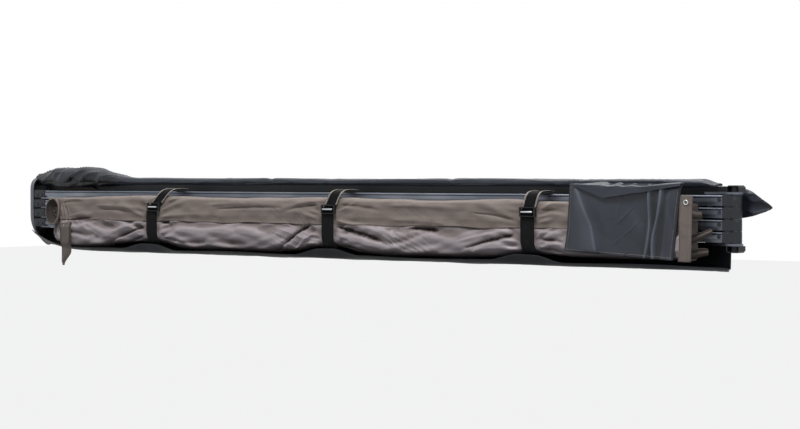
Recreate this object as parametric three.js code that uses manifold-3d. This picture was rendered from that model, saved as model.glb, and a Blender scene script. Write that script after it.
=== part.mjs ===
// Vehicle side awning, packed: a fold-out awning of four arms on one hub, in millimetres, +Z up.
// +X runs along the rail to the hub, -Y away from the vehicle. The origin lies on the rail's back face,
// half way along the rail and level with the middle of the hub.
import * as THREE from 'three';
import { mergeVertices } from 'three/addons/utils/BufferGeometryUtils.js';
import Module from 'manifold-3d';

const wasm = await Module();
wasm.setup();

// Rail: one aluminium extrusion with two bolt channels in its back and a sail track in its front
const railLength = 2360;
const railDepth = 26;
const railHeight = 136;
const railRise = 10;
const railWall = 2.8;
const boltSlot = 9;
const boltChannel = 17;
const boltChannelDepth = 7;
const boltSpread = 76;
const ribPitch = 5;
const ribDepth = 1.2;
const ribCount = 4;
const railCapThickness = 4;

// Hub and tips: the hub's bolt stands past the rail's inner end, the arms' tips past its outer end
const hubOverhang = 22;
const armOverhang = 20;

// Hub: a C bracket on the rail's end, one long bolt and four stacked knuckles
const levelPitch = 29.5;
const bracketThickness = 4;
const bracketLength = 72;
const earThickness = 5;
const earRadius = 17;
const capHeight = 16;
const capWall = 2.5;
const capChamfer = 5;
const pinRadius = 6;
const pinHeadRadius = 10;
const pinHeadHeight = 8;
const washerThickness = 1.5;
const barrelRadius = 15;
const neckLength = 28;
const tongueLength = 70;
const flangeReach = 23;
const thrustPlate = 1.6;
const thrustReach = 47;
const rivetReach = 36;
const rivetRise = 1.5;
const rivetRadius = 3;
const rivetHeadRadius = 5;
const rivetHeadHeight = 1.8;
const bracketBoltRadius = 4;
const bracketBoltHead = 2.6;

// Arms: open channels with a sail track in the leading corner, a stepped front face and a bay for the leg
const armWidth = 34;
const armHeight = 25;
const armWall = 1.8;
const armCorner = 3;
const armGap = 10;
const trackBlock = 10;
const trackBore = 3;
const trackSlot = 2.6;
const faceHeight = 16;
const faceStep = 5;
const saddleWall = 1.5;
const saddleLap = 46;
const cheekMargin = 2.5;
const saddleRivetReach = 20;

// Legs: telescopic tubes that fold up into the arms
const legTubeRadius = 9.5;
const legTubeWall = 1.2;
const legTravel = 1000;
const legLap = 120;
const legHeadRadius = 10;
const legNeck = 18;
const legPlug = 40;
const legPinRadius = 4;
const legPinHead = 6;
const lockRadius = 10.8;
const lockLength = 46;
const lockFlute = 0.9;
const footRadius = 10.4;
const footLength = 26;
const footPlug = 30;

// Canopy: what is folded of it in front of the arms, and the layer behind them
const bundleDepth = 57;
const bundleEnd = 120;
const bundleHubEnd = 92;
const upperTop = 42;
const rollBottom = 104;
const rollCinch = 9;
const bundleCinch = 6;
const cinchReach = 130;
const foldDepth = 5;
const foldWave = 410;
const innerLayer = 5;
const innerLayerTop = 61;
const innerLayerBottom = 54;
const layerGap = 0.6;

// Straps: three bands of webbing round the bundle, each with a buckle
const strapPlaceShares = [-0.276, 0.003, 0.277];
const strapLeans = [64, 34, 18];
const strapWidth = 40;
const strapThickness = 2.2;
const strapTop = 66;
const strapReach = 70;
const strapSlack = 1.3;
const buckleLength = 24;
const buckleThickness = 5;
const buckleBar = 4;
const buckleRise = 12;

// Sewn pieces at the two ends of the canopy
const panelReach = 423;
const panelLength = 308;
const panelTop = 84;
const panelBottom = 84;
const panelDrop = 16;
const panelThickness = 2.4;
const panelLeanShare = 0.12;
const hemStand = 5;
const hemLength = 34;
const hemLeanShare = 0.04;
const hemTop = 57;
const hemBottom = 104;
const flapWidth = 44;
const flapTip = 170;
const flapReach = 200;

// Cover: a coated cloth bag, unzipped, with its top flap rolled on the rail
const coverSkin = 2.6;
const flapRollHeight = 16;
const flapRollDepth = 38;
const bulgeHeight = 61;
const bulgeDepth = 84;
const bulgeFull = 140;
const bulgeLength = 440;
const trayBottom = 124;
const trayDepth = 143;
const trayLip = 107;
const trayOverhang = 26;
const trayEndSlant = 63;
const traySlantReach = 200;
const trayTaper = 330;
const trayEndRise = 44;
const endPanelStand = 14;
const endPanelDepth = 70;
const endPanelTop = 96;
const endPanelBottom = 117;
const endRim = 6;
const rearFlapLength = 100;
const rearFlapTop = 75;
const rearFlapBottom = 0;
const rearFlapDepth = 30;

// Clearances and shared settings
const fitGap = 0.3;
const runGap = 0.4;
const overrun = 1;
const roundSides = 18;
const smallSides = 8;
const cornerSteps = 3;
const armCount = 4;

// Places that follow from the sizes above
const railEnd = railLength / 2;
const pinX = railEnd + hubOverhang;
const armY = -railDepth - armGap - armWidth / 2;
const tipX = -railEnd - armOverhang;
const armReach = pinX - tipX;
const pivotX = tipX + armHeight / 2;
const stackHalf = armCount * levelPitch / 2;
const legY = (trackBlock - armWall) / 2;
const legZ = -armWall - runGap + armHeight / 2 - lockRadius;
const bundleBack = armY - armWidth / 2 - fitGap;
const bundleFront = bundleBack - bundleDepth;
const strapPlaces = strapPlaceShares.map((share) => share * railLength);
const panelStart = pinX - panelReach;
const flapPlace = tipX + flapReach;
const endPanelX = tipX - endPanelStand;

const xAxis = new THREE.Vector3(1, 0, 0);
const yAxis = new THREE.Vector3(0, 1, 0);
const zAxis = new THREE.Vector3(0, 0, 1);

// Finishes
function finish(color, roughness, metalness) {
  return new THREE.MeshStandardMaterial({ color, roughness, metalness });
}
const blackRail = finish(0x17181b, 0.45, 0.6);
const greyArm = finish(0x7b828c, 0.35, 0.85);
const blackCasting = finish(0x1b1c1f, 0.5, 0.4);
const brightSteel = finish(0xc4c8cc, 0.25, 1);
const blackPlastic = finish(0x101114, 0.55, 0);
const rubber = finish(0x151515, 0.8, 0);
const taupeCloth = finish(0x8c8078, 0.8, 0);
const greyCoated = finish(0x2d323b, 0.4, 0);
const blackWebbing = finish(0x131315, 0.9, 0);

// An outline from corners [u, v, radius]: a corner with a radius is rounded
function outline(corners) {
  const shape = new THREE.Shape();
  corners.forEach(([u, v, radius = 0], i) => {
    const corner = new THREE.Vector2(u, v);
    const [beforeU, beforeV] = corners[(i + corners.length - 1) % corners.length];
    const [afterU, afterV] = corners[(i + 1) % corners.length];
    const into = new THREE.Vector2(beforeU, beforeV).sub(corner).setLength(radius).add(corner);
    const out = new THREE.Vector2(afterU, afterV).sub(corner).setLength(radius).add(corner);
    if (i === 0) shape.moveTo(into.x, into.y);
    else shape.lineTo(into.x, into.y);
    if (radius > 0) shape.quadraticCurveTo(corner.x, corner.y, out.x, out.y);
  });
  shape.closePath();
  return shape;
}

function box(low, high) {
  const size = high.map((value, i) => value - low[i]);
  const geometry = new THREE.BoxGeometry(...size);
  return geometry.translate(...low.map((value, i) => value + size[i] / 2));
}

// A (y, z) outline run along x
function alongX(shape, start, length, curveSegments = cornerSteps) {
  const geometry = new THREE.ExtrudeGeometry(shape, { depth: length, bevelEnabled: false, curveSegments });
  geometry.applyMatrix4(new THREE.Matrix4().makeBasis(yAxis, zAxis, xAxis));
  return geometry.translate(start, 0, 0);
}

// An (x, z) outline run from its back towards -y
function towardsFront(shape, back, depth, curveSegments = cornerSteps) {
  const geometry = new THREE.ExtrudeGeometry(shape, { depth, bevelEnabled: false, curveSegments });
  geometry.applyMatrix4(new THREE.Matrix4().makeBasis(xAxis, zAxis, yAxis.clone().negate()));
  return geometry.translate(0, back, 0);
}

// An (x, y) outline raised along z
function upwards(shape, bottom, height, curveSegments = cornerSteps) {
  const geometry = new THREE.ExtrudeGeometry(shape, { depth: height, bevelEnabled: false, curveSegments });
  return geometry.translate(0, 0, bottom);
}

function rodUp(radius, x, y, bottom, height, sides = roundSides) {
  const geometry = new THREE.CylinderGeometry(radius, radius, height, sides);
  return geometry.rotateX(Math.PI / 2).translate(x, y, bottom + height / 2);
}

function rodAcross(radius, x, z, back, depth, sides = roundSides) {
  const geometry = new THREE.CylinderGeometry(radius, radius, depth, sides);
  return geometry.translate(x, back - depth / 2, z);
}

// The radius of a faceted bore whose flats clear a turning pin
function boreRadius(radius, sides) {
  return (radius + fitGap) / Math.cos(Math.PI / sides);
}

// A turned body on an axis along x; its profile runs as [radius, x] pairs
function turned(profile, y, z, sides = roundSides) {
  const points = profile.map(([radius, x]) => new THREE.Vector2(radius, x));
  return new THREE.LatheGeometry(points, sides).rotateZ(-Math.PI / 2).translate(0, y, z);
}

function solid(geometry) {
  const bare = geometry.clone();
  bare.deleteAttribute('normal');
  bare.deleteAttribute('uv');
  const merged = mergeVertices(bare);
  const vertProperties = new Float32Array(merged.attributes.position.array);
  const triVerts = new Uint32Array(merged.index.array);
  return new wasm.Manifold(new wasm.Mesh({ numProp: 3, vertProperties, triVerts }));
}

function union(...geometries) {
  return geometries.map(solid).reduce((whole, piece) => whole.add(piece));
}

function cut(whole, ...geometries) {
  return geometries.map(solid).reduce((rest, piece) => rest.subtract(piece), whole);
}

function geometryOf(manifold) {
  const { vertProperties, triVerts } = manifold.getMesh();
  const geometry = new THREE.BufferGeometry();
  geometry.setAttribute('position', new THREE.BufferAttribute(vertProperties, 3));
  geometry.setIndex(new THREE.BufferAttribute(triVerts, 1));
  geometry.computeVertexNormals();
  return geometry;
}

// A body drawn through stations along x: outlineAt gives the [y, z] outline at each, anticlockwise
function lofted(stations, outlineAt, shiftAt = () => 0) {
  const outlines = stations.map(outlineAt);
  const count = outlines[0].length;
  const positions = outlines.flatMap((points, i) =>
    points.flatMap(([y, z]) => [stations[i] + shiftAt(y, z, stations[i]), y, z]));
  const indices = [];
  for (let i = 0; i < stations.length - 1; i += 1) {
    for (let j = 0; j < count; j += 1) {
      const here = i * count + j;
      const next = i * count + ((j + 1) % count);
      indices.push(here, next, next + count, here, next + count, here + count);
    }
  }
  const closing = (i, flip) => {
    const contour = outlines[i].map(([y, z]) => new THREE.Vector2(y, z));
    THREE.ShapeUtils.triangulateShape(contour, []).forEach(([a, b, c]) => {
      const corners = flip ? [a, c, b] : [a, b, c];
      indices.push(...corners.map((corner) => corner + i * count));
    });
  };
  closing(0, true);
  closing(stations.length - 1, false);
  const geometry = new THREE.BufferGeometry();
  geometry.setAttribute('position', new THREE.Float32BufferAttribute(positions, 3));
  geometry.setIndex(indices);
  geometry.computeVertexNormals();
  return geometry;
}

function evenly(start, end, count) {
  return Array.from({ length: count + 1 }, (unused, i) => start + (end - start) * i / count);
}

// A band of even thickness along a curve of [y, z] points, as an anticlockwise outline
function band(points, thickness, steps) {
  const curve = new THREE.SplineCurve(points.map(([y, z]) => new THREE.Vector2(y, z)));
  const sides = [[], []];
  for (let i = 0; i <= steps; i += 1) {
    const place = curve.getPoint(i / steps);
    const along = curve.getTangent(i / steps);
    const off = new THREE.Vector2(-along.y, along.x).multiplyScalar(thickness / 2);
    sides[0].push([place.x - off.x, place.y - off.y]);
    sides[1].push([place.x + off.x, place.y + off.y]);
  }
  return [...sides[0], ...sides[1].reverse()];
}

function shapeOf(points) {
  return new THREE.Shape(points.map(([u, v]) => new THREE.Vector2(u, v)));
}

// A soft section between four limits, square-shouldered as its power grows
function softSection(back, front, low, high, sides, powerShare) {
  return Array.from({ length: sides }, (unused, i) => {
    const angle = 2 * Math.PI * i / sides;
    const reach = (value) => Math.sign(value) * Math.abs(value) ** powerShare;
    const y = (back + front) / 2 + reach(Math.cos(angle)) * (back - front) / 2;
    const z = (low + high) / 2 + reach(Math.sin(angle)) * (high - low) / 2;
    return [y, z];
  });
}

// How far a place along x lies inside the hold of the nearest strap, from 0 to 1
function held(x) {
  const nearest = Math.min(...strapPlaces.map((place) => Math.abs(x - place)));
  return Math.exp(-((nearest / cinchReach) ** 2));
}

const awning = new THREE.Group();

function piece(name, shape, material, parent = awning) {
  const geometry = shape.isBufferGeometry ? shape : geometryOf(shape);
  const mesh = new THREE.Mesh(geometry, material);
  mesh.name = name;
  parent.add(mesh);
  return mesh;
}

// Rail
function boltChannelOutline(height) {
  const inner = boltChannel / 2;
  const slot = boltSlot / 2;
  const deep = -railWall - boltChannelDepth;
  return [
    [0, height - slot], [-railWall, height - slot], [-railWall, height - inner], [deep, height - inner],
    [deep, height + inner], [-railWall, height + inner], [-railWall, height + slot], [0, height + slot],
  ];
}

function ribOutline(top) {
  const grooves = [];
  for (let i = 0; i < ribCount; i += 1) {
    const height = top - (i + 1) * ribPitch;
    const half = ribPitch / 4;
    grooves.push([-railDepth, height + half], [-railDepth + ribDepth, height + half]);
    grooves.push([-railDepth + ribDepth, height - half], [-railDepth, height - half]);
  }
  return grooves;
}

const railTop = railRise + railHeight / 2;
const railBottom = railRise - railHeight / 2;
const boltHeights = [railRise - boltSpread / 2, railRise + boltSpread / 2];

function railProfile() {
  const shape = outline([
    [0, railBottom, railWall / 2], ...boltChannelOutline(boltHeights[0]),
    ...boltChannelOutline(boltHeights[1]), [0, railTop, railWall / 2],
    [-railDepth, railTop, railWall / 2], ...ribOutline(railTop - ribPitch), [-railDepth, railBottom, railWall / 2],
  ]);
  const behind = -railDepth + ribDepth + railWall;
  const shallow = -boltChannelDepth - 2 * railWall;
  const reach = boltChannel / 2 + railWall;
  const chambers = [
    [shallow, boltHeights[0] - reach, behind, boltHeights[0] + reach],
    [-railWall, boltHeights[0] + reach + railWall, behind, boltHeights[1] - reach - railWall],
    [shallow, boltHeights[1] - reach, behind, boltHeights[1] + reach],
  ];
  chambers.forEach(([back, low, front, high]) => {
    shape.holes.push(shapeOf([[back, low], [front, low], [front, high], [back, high]]));
  });
  return shape;
}

piece('back_rail', alongX(railProfile(), -railEnd, railLength), blackRail);

function railCap() {
  const plate = outline([
    [0, railBottom, armCorner], [0, railTop, armCorner], [-railDepth, railTop, armCorner],
    [-railDepth, railBottom, armCorner],
  ]);
  const inset = railWall + fitGap;
  const shallow = -boltChannelDepth - 2 * railWall - fitGap;
  const behind = -railDepth + ribDepth + inset;
  const reach = boltChannel / 2 + railWall - fitGap;
  const plugs = boltHeights.map((height) =>
    box([-railEnd - overrun, behind, height - reach], [-railEnd + boltChannel, shallow, height + reach]));
  return union(alongX(plate, -railEnd - fitGap - railCapThickness, railCapThickness), ...plugs);
}

piece('rail_front_cap', railCap(), blackPlastic);

// Hub bracket: a folded plate on the rail's front face with an ear above and below the knuckles
const webBack = -railDepth - fitGap;
const webFront = webBack - bracketThickness;
const earInner = stackHalf + fitGap;
const earOuter = earInner + earThickness;

function earPlate(bottom) {
  const start = railEnd - bracketLength;
  const lobe = pinX + earRadius;
  const shape = outline([
    [start, webBack], [start, webBack - armGap, armCorner], [pinX - earRadius, armY - earRadius, earRadius],
    [lobe, armY - earRadius, earRadius], [lobe, armY + earRadius, earRadius], [railEnd, webBack],
  ]);
  return upwards(shape, bottom, earThickness, 2 * cornerSteps);
}

const outerBoltX = railEnd - bracketLength * 0.8;
const innerBoltX = railEnd - bracketLength * 0.14;
const bracketBolts = [[outerBoltX, levelPitch], [innerBoltX, -levelPitch]];

function hubBracket() {
  const web = box([railEnd - bracketLength, webFront, -earOuter], [railEnd, webBack, earOuter]);
  const whole = union(web, earPlate(earInner), earPlate(-earOuter));
  const pinHoles = rodUp(pinRadius + fitGap, pinX, armY, -earOuter - overrun, 2 * (earOuter + overrun));
  const boltHoles = bracketBolts.map(([x, z]) =>
    rodAcross(bracketBoltRadius + fitGap, x, z, webBack + overrun, bracketThickness + 2 * overrun, smallSides));
  return cut(whole, pinHoles, ...boltHoles);
}

piece('hub_bracket', hubBracket(), greyArm);

function bracketBolt([x, z]) {
  const shank = rodAcross(bracketBoltRadius, x, z, webBack, bracketThickness + overrun, smallSides);
  const head = rodAcross(2 * bracketBoltRadius, x, z, webFront - fitGap, bracketBoltHead, smallSides);
  const socket = rodAcross(bracketBoltRadius, x, z, webFront - fitGap - bracketBoltHead / 2, bracketBoltHead, 6);
  return cut(union(shank, head), socket);
}

bracketBolts.forEach((place, i) => piece(`hub_bracket_bolt_${i + 1}`, bracketBolt(place), brightSteel));

// Ear caps: chamfered mouldings, open to the front on both sides of the bolt's boss
function earCap(side) {
  const half = earRadius;
  const low = earOuter + fitGap;
  const high = low + capHeight;
  const front = outline([
    [pinX - half, low], [pinX + half, low], [pinX + half, high - capChamfer], [pinX + half - capChamfer, high],
    [pinX - half + capChamfer, high], [pinX - half, high - capChamfer],
  ]);
  const body = towardsFront(front, armY + half, 2 * half);
  const pocket = outline([
    [pinX - half + capWall, low - overrun], [pinX + half - capWall, low - overrun],
    [pinX + half - capWall, high - capChamfer], [pinX + half - capChamfer, high - capWall],
    [pinX - half + capChamfer, high - capWall], [pinX - half + capWall, high - capChamfer],
  ]);
  const hollow = towardsFront(pocket, armY + half - capWall, 2 * half);
  const boss = rodUp(pinHeadRadius + capWall, pinX, armY, low, capHeight - capWall / 2);
  const bore = rodUp(pinHeadRadius + fitGap, pinX, armY, low - overrun, pinHeadHeight + washerThickness + 3 * overrun);
  const whole = cut(cut(solid(body), hollow).add(solid(boss)), bore);
  return side > 0 ? whole : whole.mirror([0, 0, 1]);
}

piece('hub_top_cap', earCap(1), blackPlastic);
piece('hub_bottom_cap', earCap(-1), blackPlastic);

function hubPin() {
  const head = rodUp(pinHeadRadius, pinX, armY, earOuter + fitGap + washerThickness + fitGap, pinHeadHeight, 6);
  const shank = rodUp(pinRadius, pinX, armY, -earOuter - washerThickness - pinHeadHeight,
    2 * (earOuter + washerThickness + pinHeadHeight));
  return union(shank, head);
}

piece('hub_pin', hubPin(), brightSteel);

function hubNut() {
  const bottom = -earOuter - 2 * fitGap - washerThickness - pinHeadHeight;
  const nut = rodUp(pinHeadRadius, pinX, armY, bottom, pinHeadHeight, 6);
  return cut(solid(nut), rodUp(pinRadius + fitGap, pinX, armY, bottom - overrun, pinHeadHeight + 2 * overrun));
}

piece('hub_nut', hubNut(), brightSteel);

function hubWasher(bottom) {
  const ring = rodUp(pinHeadRadius, pinX, armY, bottom, washerThickness);
  return cut(solid(ring), rodUp(pinRadius + fitGap, pinX, armY, bottom - overrun, washerThickness + 2 * overrun));
}

piece('hub_top_washer', hubWasher(earOuter + fitGap), brightSteel);
piece('hub_bottom_washer', hubWasher(-earOuter - fitGap - washerThickness), brightSteel);

// Arms, drawn about the hub's pin: each arm's own group sits at the pin, at its level
function armProfile() {
  const half = armWidth / 2;
  const top = armHeight / 2;
  const boreZ = top - trackBlock / 2;
  const boreY = -half + trackBlock / 2;
  const slot = trackSlot / 2;
  const shelf = top - faceHeight;
  const shape = new THREE.Shape();
  const opening = Math.asin(slot / trackBore);
  shape.moveTo(-half + faceStep, -top);
  shape.lineTo(-half + faceStep + armWall, -top);
  shape.lineTo(-half + faceStep + armWall, shelf + armWall);
  shape.lineTo(-half + armWall, shelf + armWall);
  shape.lineTo(-half + armWall, top - trackBlock);
  shape.lineTo(-half + trackBlock, top - trackBlock);
  shape.lineTo(-half + trackBlock, top - armWall);
  shape.lineTo(half - armWall, top - armWall);
  shape.lineTo(half - armWall, -top);
  shape.lineTo(half, -top);
  shape.lineTo(half, top - armCorner);
  shape.quadraticCurveTo(half, top, half - armCorner, top);
  shape.lineTo(-half + armCorner, top);
  shape.quadraticCurveTo(-half, top, -half, boreZ + slot);
  shape.absarc(boreY, boreZ, trackBore, Math.PI - opening, opening - Math.PI, true);
  shape.lineTo(-half, boreZ - slot);
  shape.lineTo(-half, shelf);
  shape.lineTo(-half + faceStep, shelf);
  shape.closePath();
  return shape;
}

const armStart = -neckLength;
const armEnd = -armReach + armHeight / 2 + legHeadRadius + 2 * runGap;
const saddleRivetX = -armReach + armHeight / 2 + saddleRivetReach;

function armChannel() {
  const profile = alongX(armProfile(), armEnd, armStart - armEnd, 2 * cornerSteps);
  const hubHoles = rodAcross(rivetRadius + fitGap, -rivetReach, rivetRise, armWidth, 2 * armWidth, smallSides);
  const endHoles = rodAcross(rivetRadius + fitGap, saddleRivetX, legZ, armWidth, 2 * armWidth, smallSides);
  return cut(solid(profile), hubHoles, endHoles);
}

function rivet(x, z, side, grip) {
  const outer = side * (armWidth / 2 + grip + fitGap);
  const head = rodAcross(rivetHeadRadius, x, z, Math.max(outer, outer + side * rivetHeadHeight), rivetHeadHeight,
    smallSides);
  const inner = side * (armWidth / 2 - armWall - fitGap);
  const shank = rodAcross(rivetRadius, x, z, Math.max(inner, outer + side * rivetHeadHeight / 2),
    Math.abs(outer + side * rivetHeadHeight / 2 - inner), smallSides);
  return [head, shank];
}

// Knuckle: a barrel on the pin, a flange that closes on its neighbours, a neck with a tongue in the
// arm's bay, and a thrust plate under it
function knuckle() {
  const barrelHeight = levelPitch - 2 * fitGap;
  const bottom = -barrelHeight / 2;
  const barrel = rodUp(barrelRadius, 0, 0, bottom, barrelHeight);
  const half = armWidth / 2;
  const neck = upwards(outline([
    [0, -barrelRadius], [0, barrelRadius], [-neckLength / 2, half - armWall], [-neckLength + fitGap, half],
    [-neckLength + fitGap, -half], [-neckLength / 2, -half + armWall],
  ]), -armHeight / 2, armHeight);
  const flange = box([-flangeReach, -barrelRadius, bottom], [-barrelRadius / 2, barrelRadius, -bottom]);
  const tongue = box(
    [-neckLength - tongueLength, -half + trackBlock + fitGap, -armHeight / 2],
    [-neckLength + overrun, half - armWall - fitGap, armHeight / 2 - armWall - fitGap],
  );
  const plate = upwards(outline([
    [0, -barrelRadius], [0, barrelRadius], [-thrustReach, barrelRadius / 2, armCorner],
    [-thrustReach, -barrelRadius / 2, armCorner],
  ]), bottom, thrustPlate);
  const crossRivet = rodAcross(rivetRadius, -rivetReach, rivetRise, half, armWidth, smallSides);
  const heads = [-1, 1].flatMap((side) => rivet(-rivetReach, rivetRise, side, 0));
  const whole = union(barrel, neck, flange, tongue, plate, crossRivet, ...heads);
  return cut(whole, rodUp(boreRadius(pinRadius, roundSides), 0, 0, -levelPitch, 2 * levelPitch));
}

// Saddle: a folded plate round the arm's outer end that holds the leg's pivot pin
function saddle() {
  const inner = armWidth / 2 + fitGap;
  const outer = inner + saddleWall;
  const top = armHeight / 2 + fitGap;
  const round = armHeight / 2;
  const start = -armReach;
  const end = start + saddleLap;
  const cheekTop = top + saddleWall;
  const cheekBottom = legZ - legPinHead - cheekMargin;
  const cheek = outline([
    [start, cheekBottom, legPinHead], [end, cheekBottom, armCorner], [end, cheekTop], [start, cheekTop, legPinHead],
  ]);
  const cheeks = [outer, -inner].map((back) => towardsFront(cheek, back, saddleWall, 2 * cornerSteps));
  const roof = box([start + round, -outer, top], [end, outer, cheekTop]);
  const pin = rodAcross(legPinRadius, start + round, legZ, outer, 2 * outer, smallSides);
  const pinHeads = [outer + rivetHeadHeight, -outer].map((back) =>
    rodAcross(legPinHead, start + round, legZ, back, rivetHeadHeight, smallSides));
  const rivets = [-1, 1].flatMap((side) => rivet(saddleRivetX, legZ, side, saddleWall));
  return union(...cheeks, roof, pin, ...pinHeads, ...rivets);
}

// Leg: head on the pivot pin, outer tube, inner tube, twist lock and foot, drawn along +x from the pivot
const legBore = legTubeRadius - legTubeWall;
const innerTubeRadius = legBore - fitGap;
const tubeStart = legNeck;
const tubeEnd = tubeStart + legTravel + legLap;

function legHead() {
  const width = armWidth - 2 * runGap;
  const eye = rodAcross(legHeadRadius, 0, 0, width / 2, width);
  const middle = legY;
  const neck = turned([
    [0, 0], [legTubeRadius, 0], [legTubeRadius, tubeStart - fitGap], [legBore - fitGap, tubeStart - fitGap],
    [legBore - fitGap, tubeStart + legPlug], [0, tubeStart + legPlug],
  ], middle, 0);
  return cut(union(eye, neck), rodAcross(boreRadius(legPinRadius, smallSides), 0, 0, width, 2 * width, smallSides));
}

function pipe(radius, wall, start, end, y) {
  return turned([[radius - wall, start], [radius, start], [radius, end], [radius - wall, end], [radius - wall, start]],
    y, 0);
}

function twistLock() {
  const start = tubeEnd - lockLength * 0.6;
  const end = start + lockLength;
  const body = turned([
    [legTubeRadius + fitGap, start], [lockRadius - armWall / 2, start], [lockRadius, start + 2 * armWall],
    [lockRadius, end - 2 * armWall], [lockRadius - armWall, end], [innerTubeRadius + fitGap, end],
    [innerTubeRadius + fitGap, tubeEnd + fitGap], [legTubeRadius + fitGap, tubeEnd + fitGap],
    [legTubeRadius + fitGap, start],
  ], 0, 0);
  const flutes = Array.from({ length: 6 }, (unused, i) => {
    const flute = new THREE.CylinderGeometry(lockFlute, lockFlute, lockLength * 0.5, 5);
    flute.rotateZ(Math.PI / 2).translate((start + end) / 2, lockRadius + lockFlute / 4, 0);
    return flute.rotateX(i * Math.PI / 3);
  });
  return cut(solid(body), ...flutes).translate([0, legY, 0]);
}

function innerTube() {
  return pipe(innerTubeRadius, legTubeWall, tubeStart + legPlug + fitGap, tubeEnd + lockLength, legY);
}

function foot() {
  const start = tubeEnd + lockLength + fitGap;
  const end = start + footLength;
  const plugRadius = innerTubeRadius - legTubeWall - fitGap;
  return turned([
    [0, start - footPlug], [plugRadius, start - footPlug], [plugRadius, start], [innerTubeRadius, start],
    [innerTubeRadius, start + footLength * 0.4], [footRadius, start + footLength * 0.6],
    [footRadius, end - armWall], [footRadius - armWall, end], [0, end],
  ], legY, 0);
}

const armShape = armChannel();
const knuckleShape = knuckle();
const saddleShape = saddle();
const headShape = legHead();
const tubeShape = pipe(legTubeRadius, legTubeWall, tubeStart, tubeEnd, legY);
const lockShape = twistLock();
const innerShape = innerTube();
const footShape = foot();

const arms = [];
for (let number = 1; number <= armCount; number += 1) {
  const arm = new THREE.Group();
  arm.position.set(pinX, armY, stackHalf - (number - 0.5) * levelPitch);
  awning.add(arm);
  arms.push(arm);
  const leg = new THREE.Group();
  leg.position.set(pivotX - pinX, 0, legZ);
  arm.add(leg);
  piece(`arm_${number}_knuckle`, knuckleShape, blackCasting, arm);
  piece(`arm_${number}_channel`, armShape, greyArm, arm);
  piece(`arm_${number}_saddle`, saddleShape, greyArm, arm);
  piece(`leg_${number}_head`, headShape, blackPlastic, leg);
  piece(`leg_${number}_outer_tube`, tubeShape, greyArm, leg);
  piece(`leg_${number}_lock`, lockShape, blackPlastic, leg);
  piece(`leg_${number}_inner_tube`, innerShape, brightSteel, leg);
  piece(`leg_${number}_foot`, footShape, rubber, leg);
}

// Canopy: three layers folded in front of the arms, each at the level of the arm that it goes with
const bundleStart = tipX + bundleEnd;
const bundleFinish = pinX - bundleHubEnd;
const bundleStations = evenly(bundleStart, bundleFinish, 32);

function endTaper(x) {
  const room = Math.min(x - bundleStart, bundleFinish - x);
  return Math.min(1, room / cinchReach);
}

function bundleFrontAt(x, phaseShare) {
  const fold = Math.sin(2 * Math.PI * (x / foldWave + phaseShare)) * (1 - held(x));
  return bundleFront + bundleCinch * held(x) + foldDepth * (1 - endTaper(x)) + foldDepth * (1 - fold) / 2;
}

function layerSection(low, high, phaseShare, powerShare, slack) {
  return (x) => {
    const front = bundleFrontAt(x, phaseShare);
    const drop = low + slack * (held(x) + (1 - endTaper(x)) / 2);
    return softSection(bundleBack, front, drop, high, 14, powerShare);
  };
}

const rollPhaseShare = 0.5;
const upper = layerSection(layerGap, upperTop, 0, 0.5, 0);
const middle = layerSection(-levelPitch + layerGap, 0, 0.2, 0.5, 0);
const roll = layerSection(-rollBottom, -levelPitch, rollPhaseShare, 0.6, rollCinch);
piece('canopy_section_2', lofted(bundleStations, upper), taupeCloth);
piece('canopy_section_3', lofted(bundleStations, middle), taupeCloth);
piece('canopy_section_4', lofted(bundleStations, roll), taupeCloth);

// The section between the rail and the first arm hangs behind the arms, gathered in soft folds
function innerSection(x) {
  const back = -railDepth - fitGap;
  const wave = Math.sin(2 * Math.PI * x / foldWave) * (armGap - innerLayer) / 4;
  return softSection(back, back - innerLayer - wave, -innerLayerBottom, innerLayerTop, 10, 0.6);
}

const innerStart = tipX + saddleLap + innerLayer;
const innerFinish = railEnd - bracketLength - innerLayer;
piece('canopy_section_1', lofted(evenly(innerStart, innerFinish, 24), innerSection), taupeCloth);

// Straps: each lies over the top arm, down the front of the bundle and under it
const strapFront = bundleFront + bundleCinch + foldDepth / 2 - strapSlack - strapThickness / 2;

function strapOutline() {
  const over = strapTop - strapThickness;
  const under = -rollBottom + rollCinch / 3 - strapThickness;
  return band([
    [strapFront + strapReach, over], [strapFront + strapReach / 2, over], [strapFront + foldDepth, over - foldDepth],
    [strapFront, upperTop], [strapFront, 0], [strapFront, -levelPitch], [strapFront, -rollBottom + 2 * rollCinch],
    [strapFront + foldDepth / 2, -rollBottom + rollCinch / 2], [strapFront + 2 * foldDepth, under],
    [strapFront + strapReach / 3, under],
  ], strapThickness, 24);
}

const strapShape = shapeOf(strapOutline());

// In its upper half a strap leans towards the hub, by the whole lean at its top
function leanAt(lean, z) {
  return lean * Math.max(0, z) / strapTop;
}

function leaning(geometry, lean) {
  const places = geometry.attributes.position;
  for (let i = 0; i < places.count; i += 1) places.setX(i, places.getX(i) + leanAt(lean, places.getZ(i)));
  return geometry;
}

function buckle(place) {
  const half = strapWidth / 2 + buckleBar;
  const ring = outline([
    [place - half, buckleRise - buckleLength / 2, armWall], [place + half, buckleRise - buckleLength / 2, armWall],
    [place + half, buckleRise + buckleLength / 2, armWall], [place - half, buckleRise + buckleLength / 2, armWall],
  ]);
  const inset = half - buckleBar;
  [-1, 1].forEach((side) => {
    const middleZ = buckleRise + side * buckleLength / 4;
    const reach = buckleLength / 4 - buckleBar / 2;
    ring.holes.push(shapeOf([
      [place - inset, middleZ - reach], [place + inset, middleZ - reach],
      [place + inset, middleZ + reach], [place - inset, middleZ + reach],
    ]));
  });
  return towardsFront(ring, strapFront - strapThickness / 2 - 2 * fitGap, buckleThickness);
}

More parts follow.
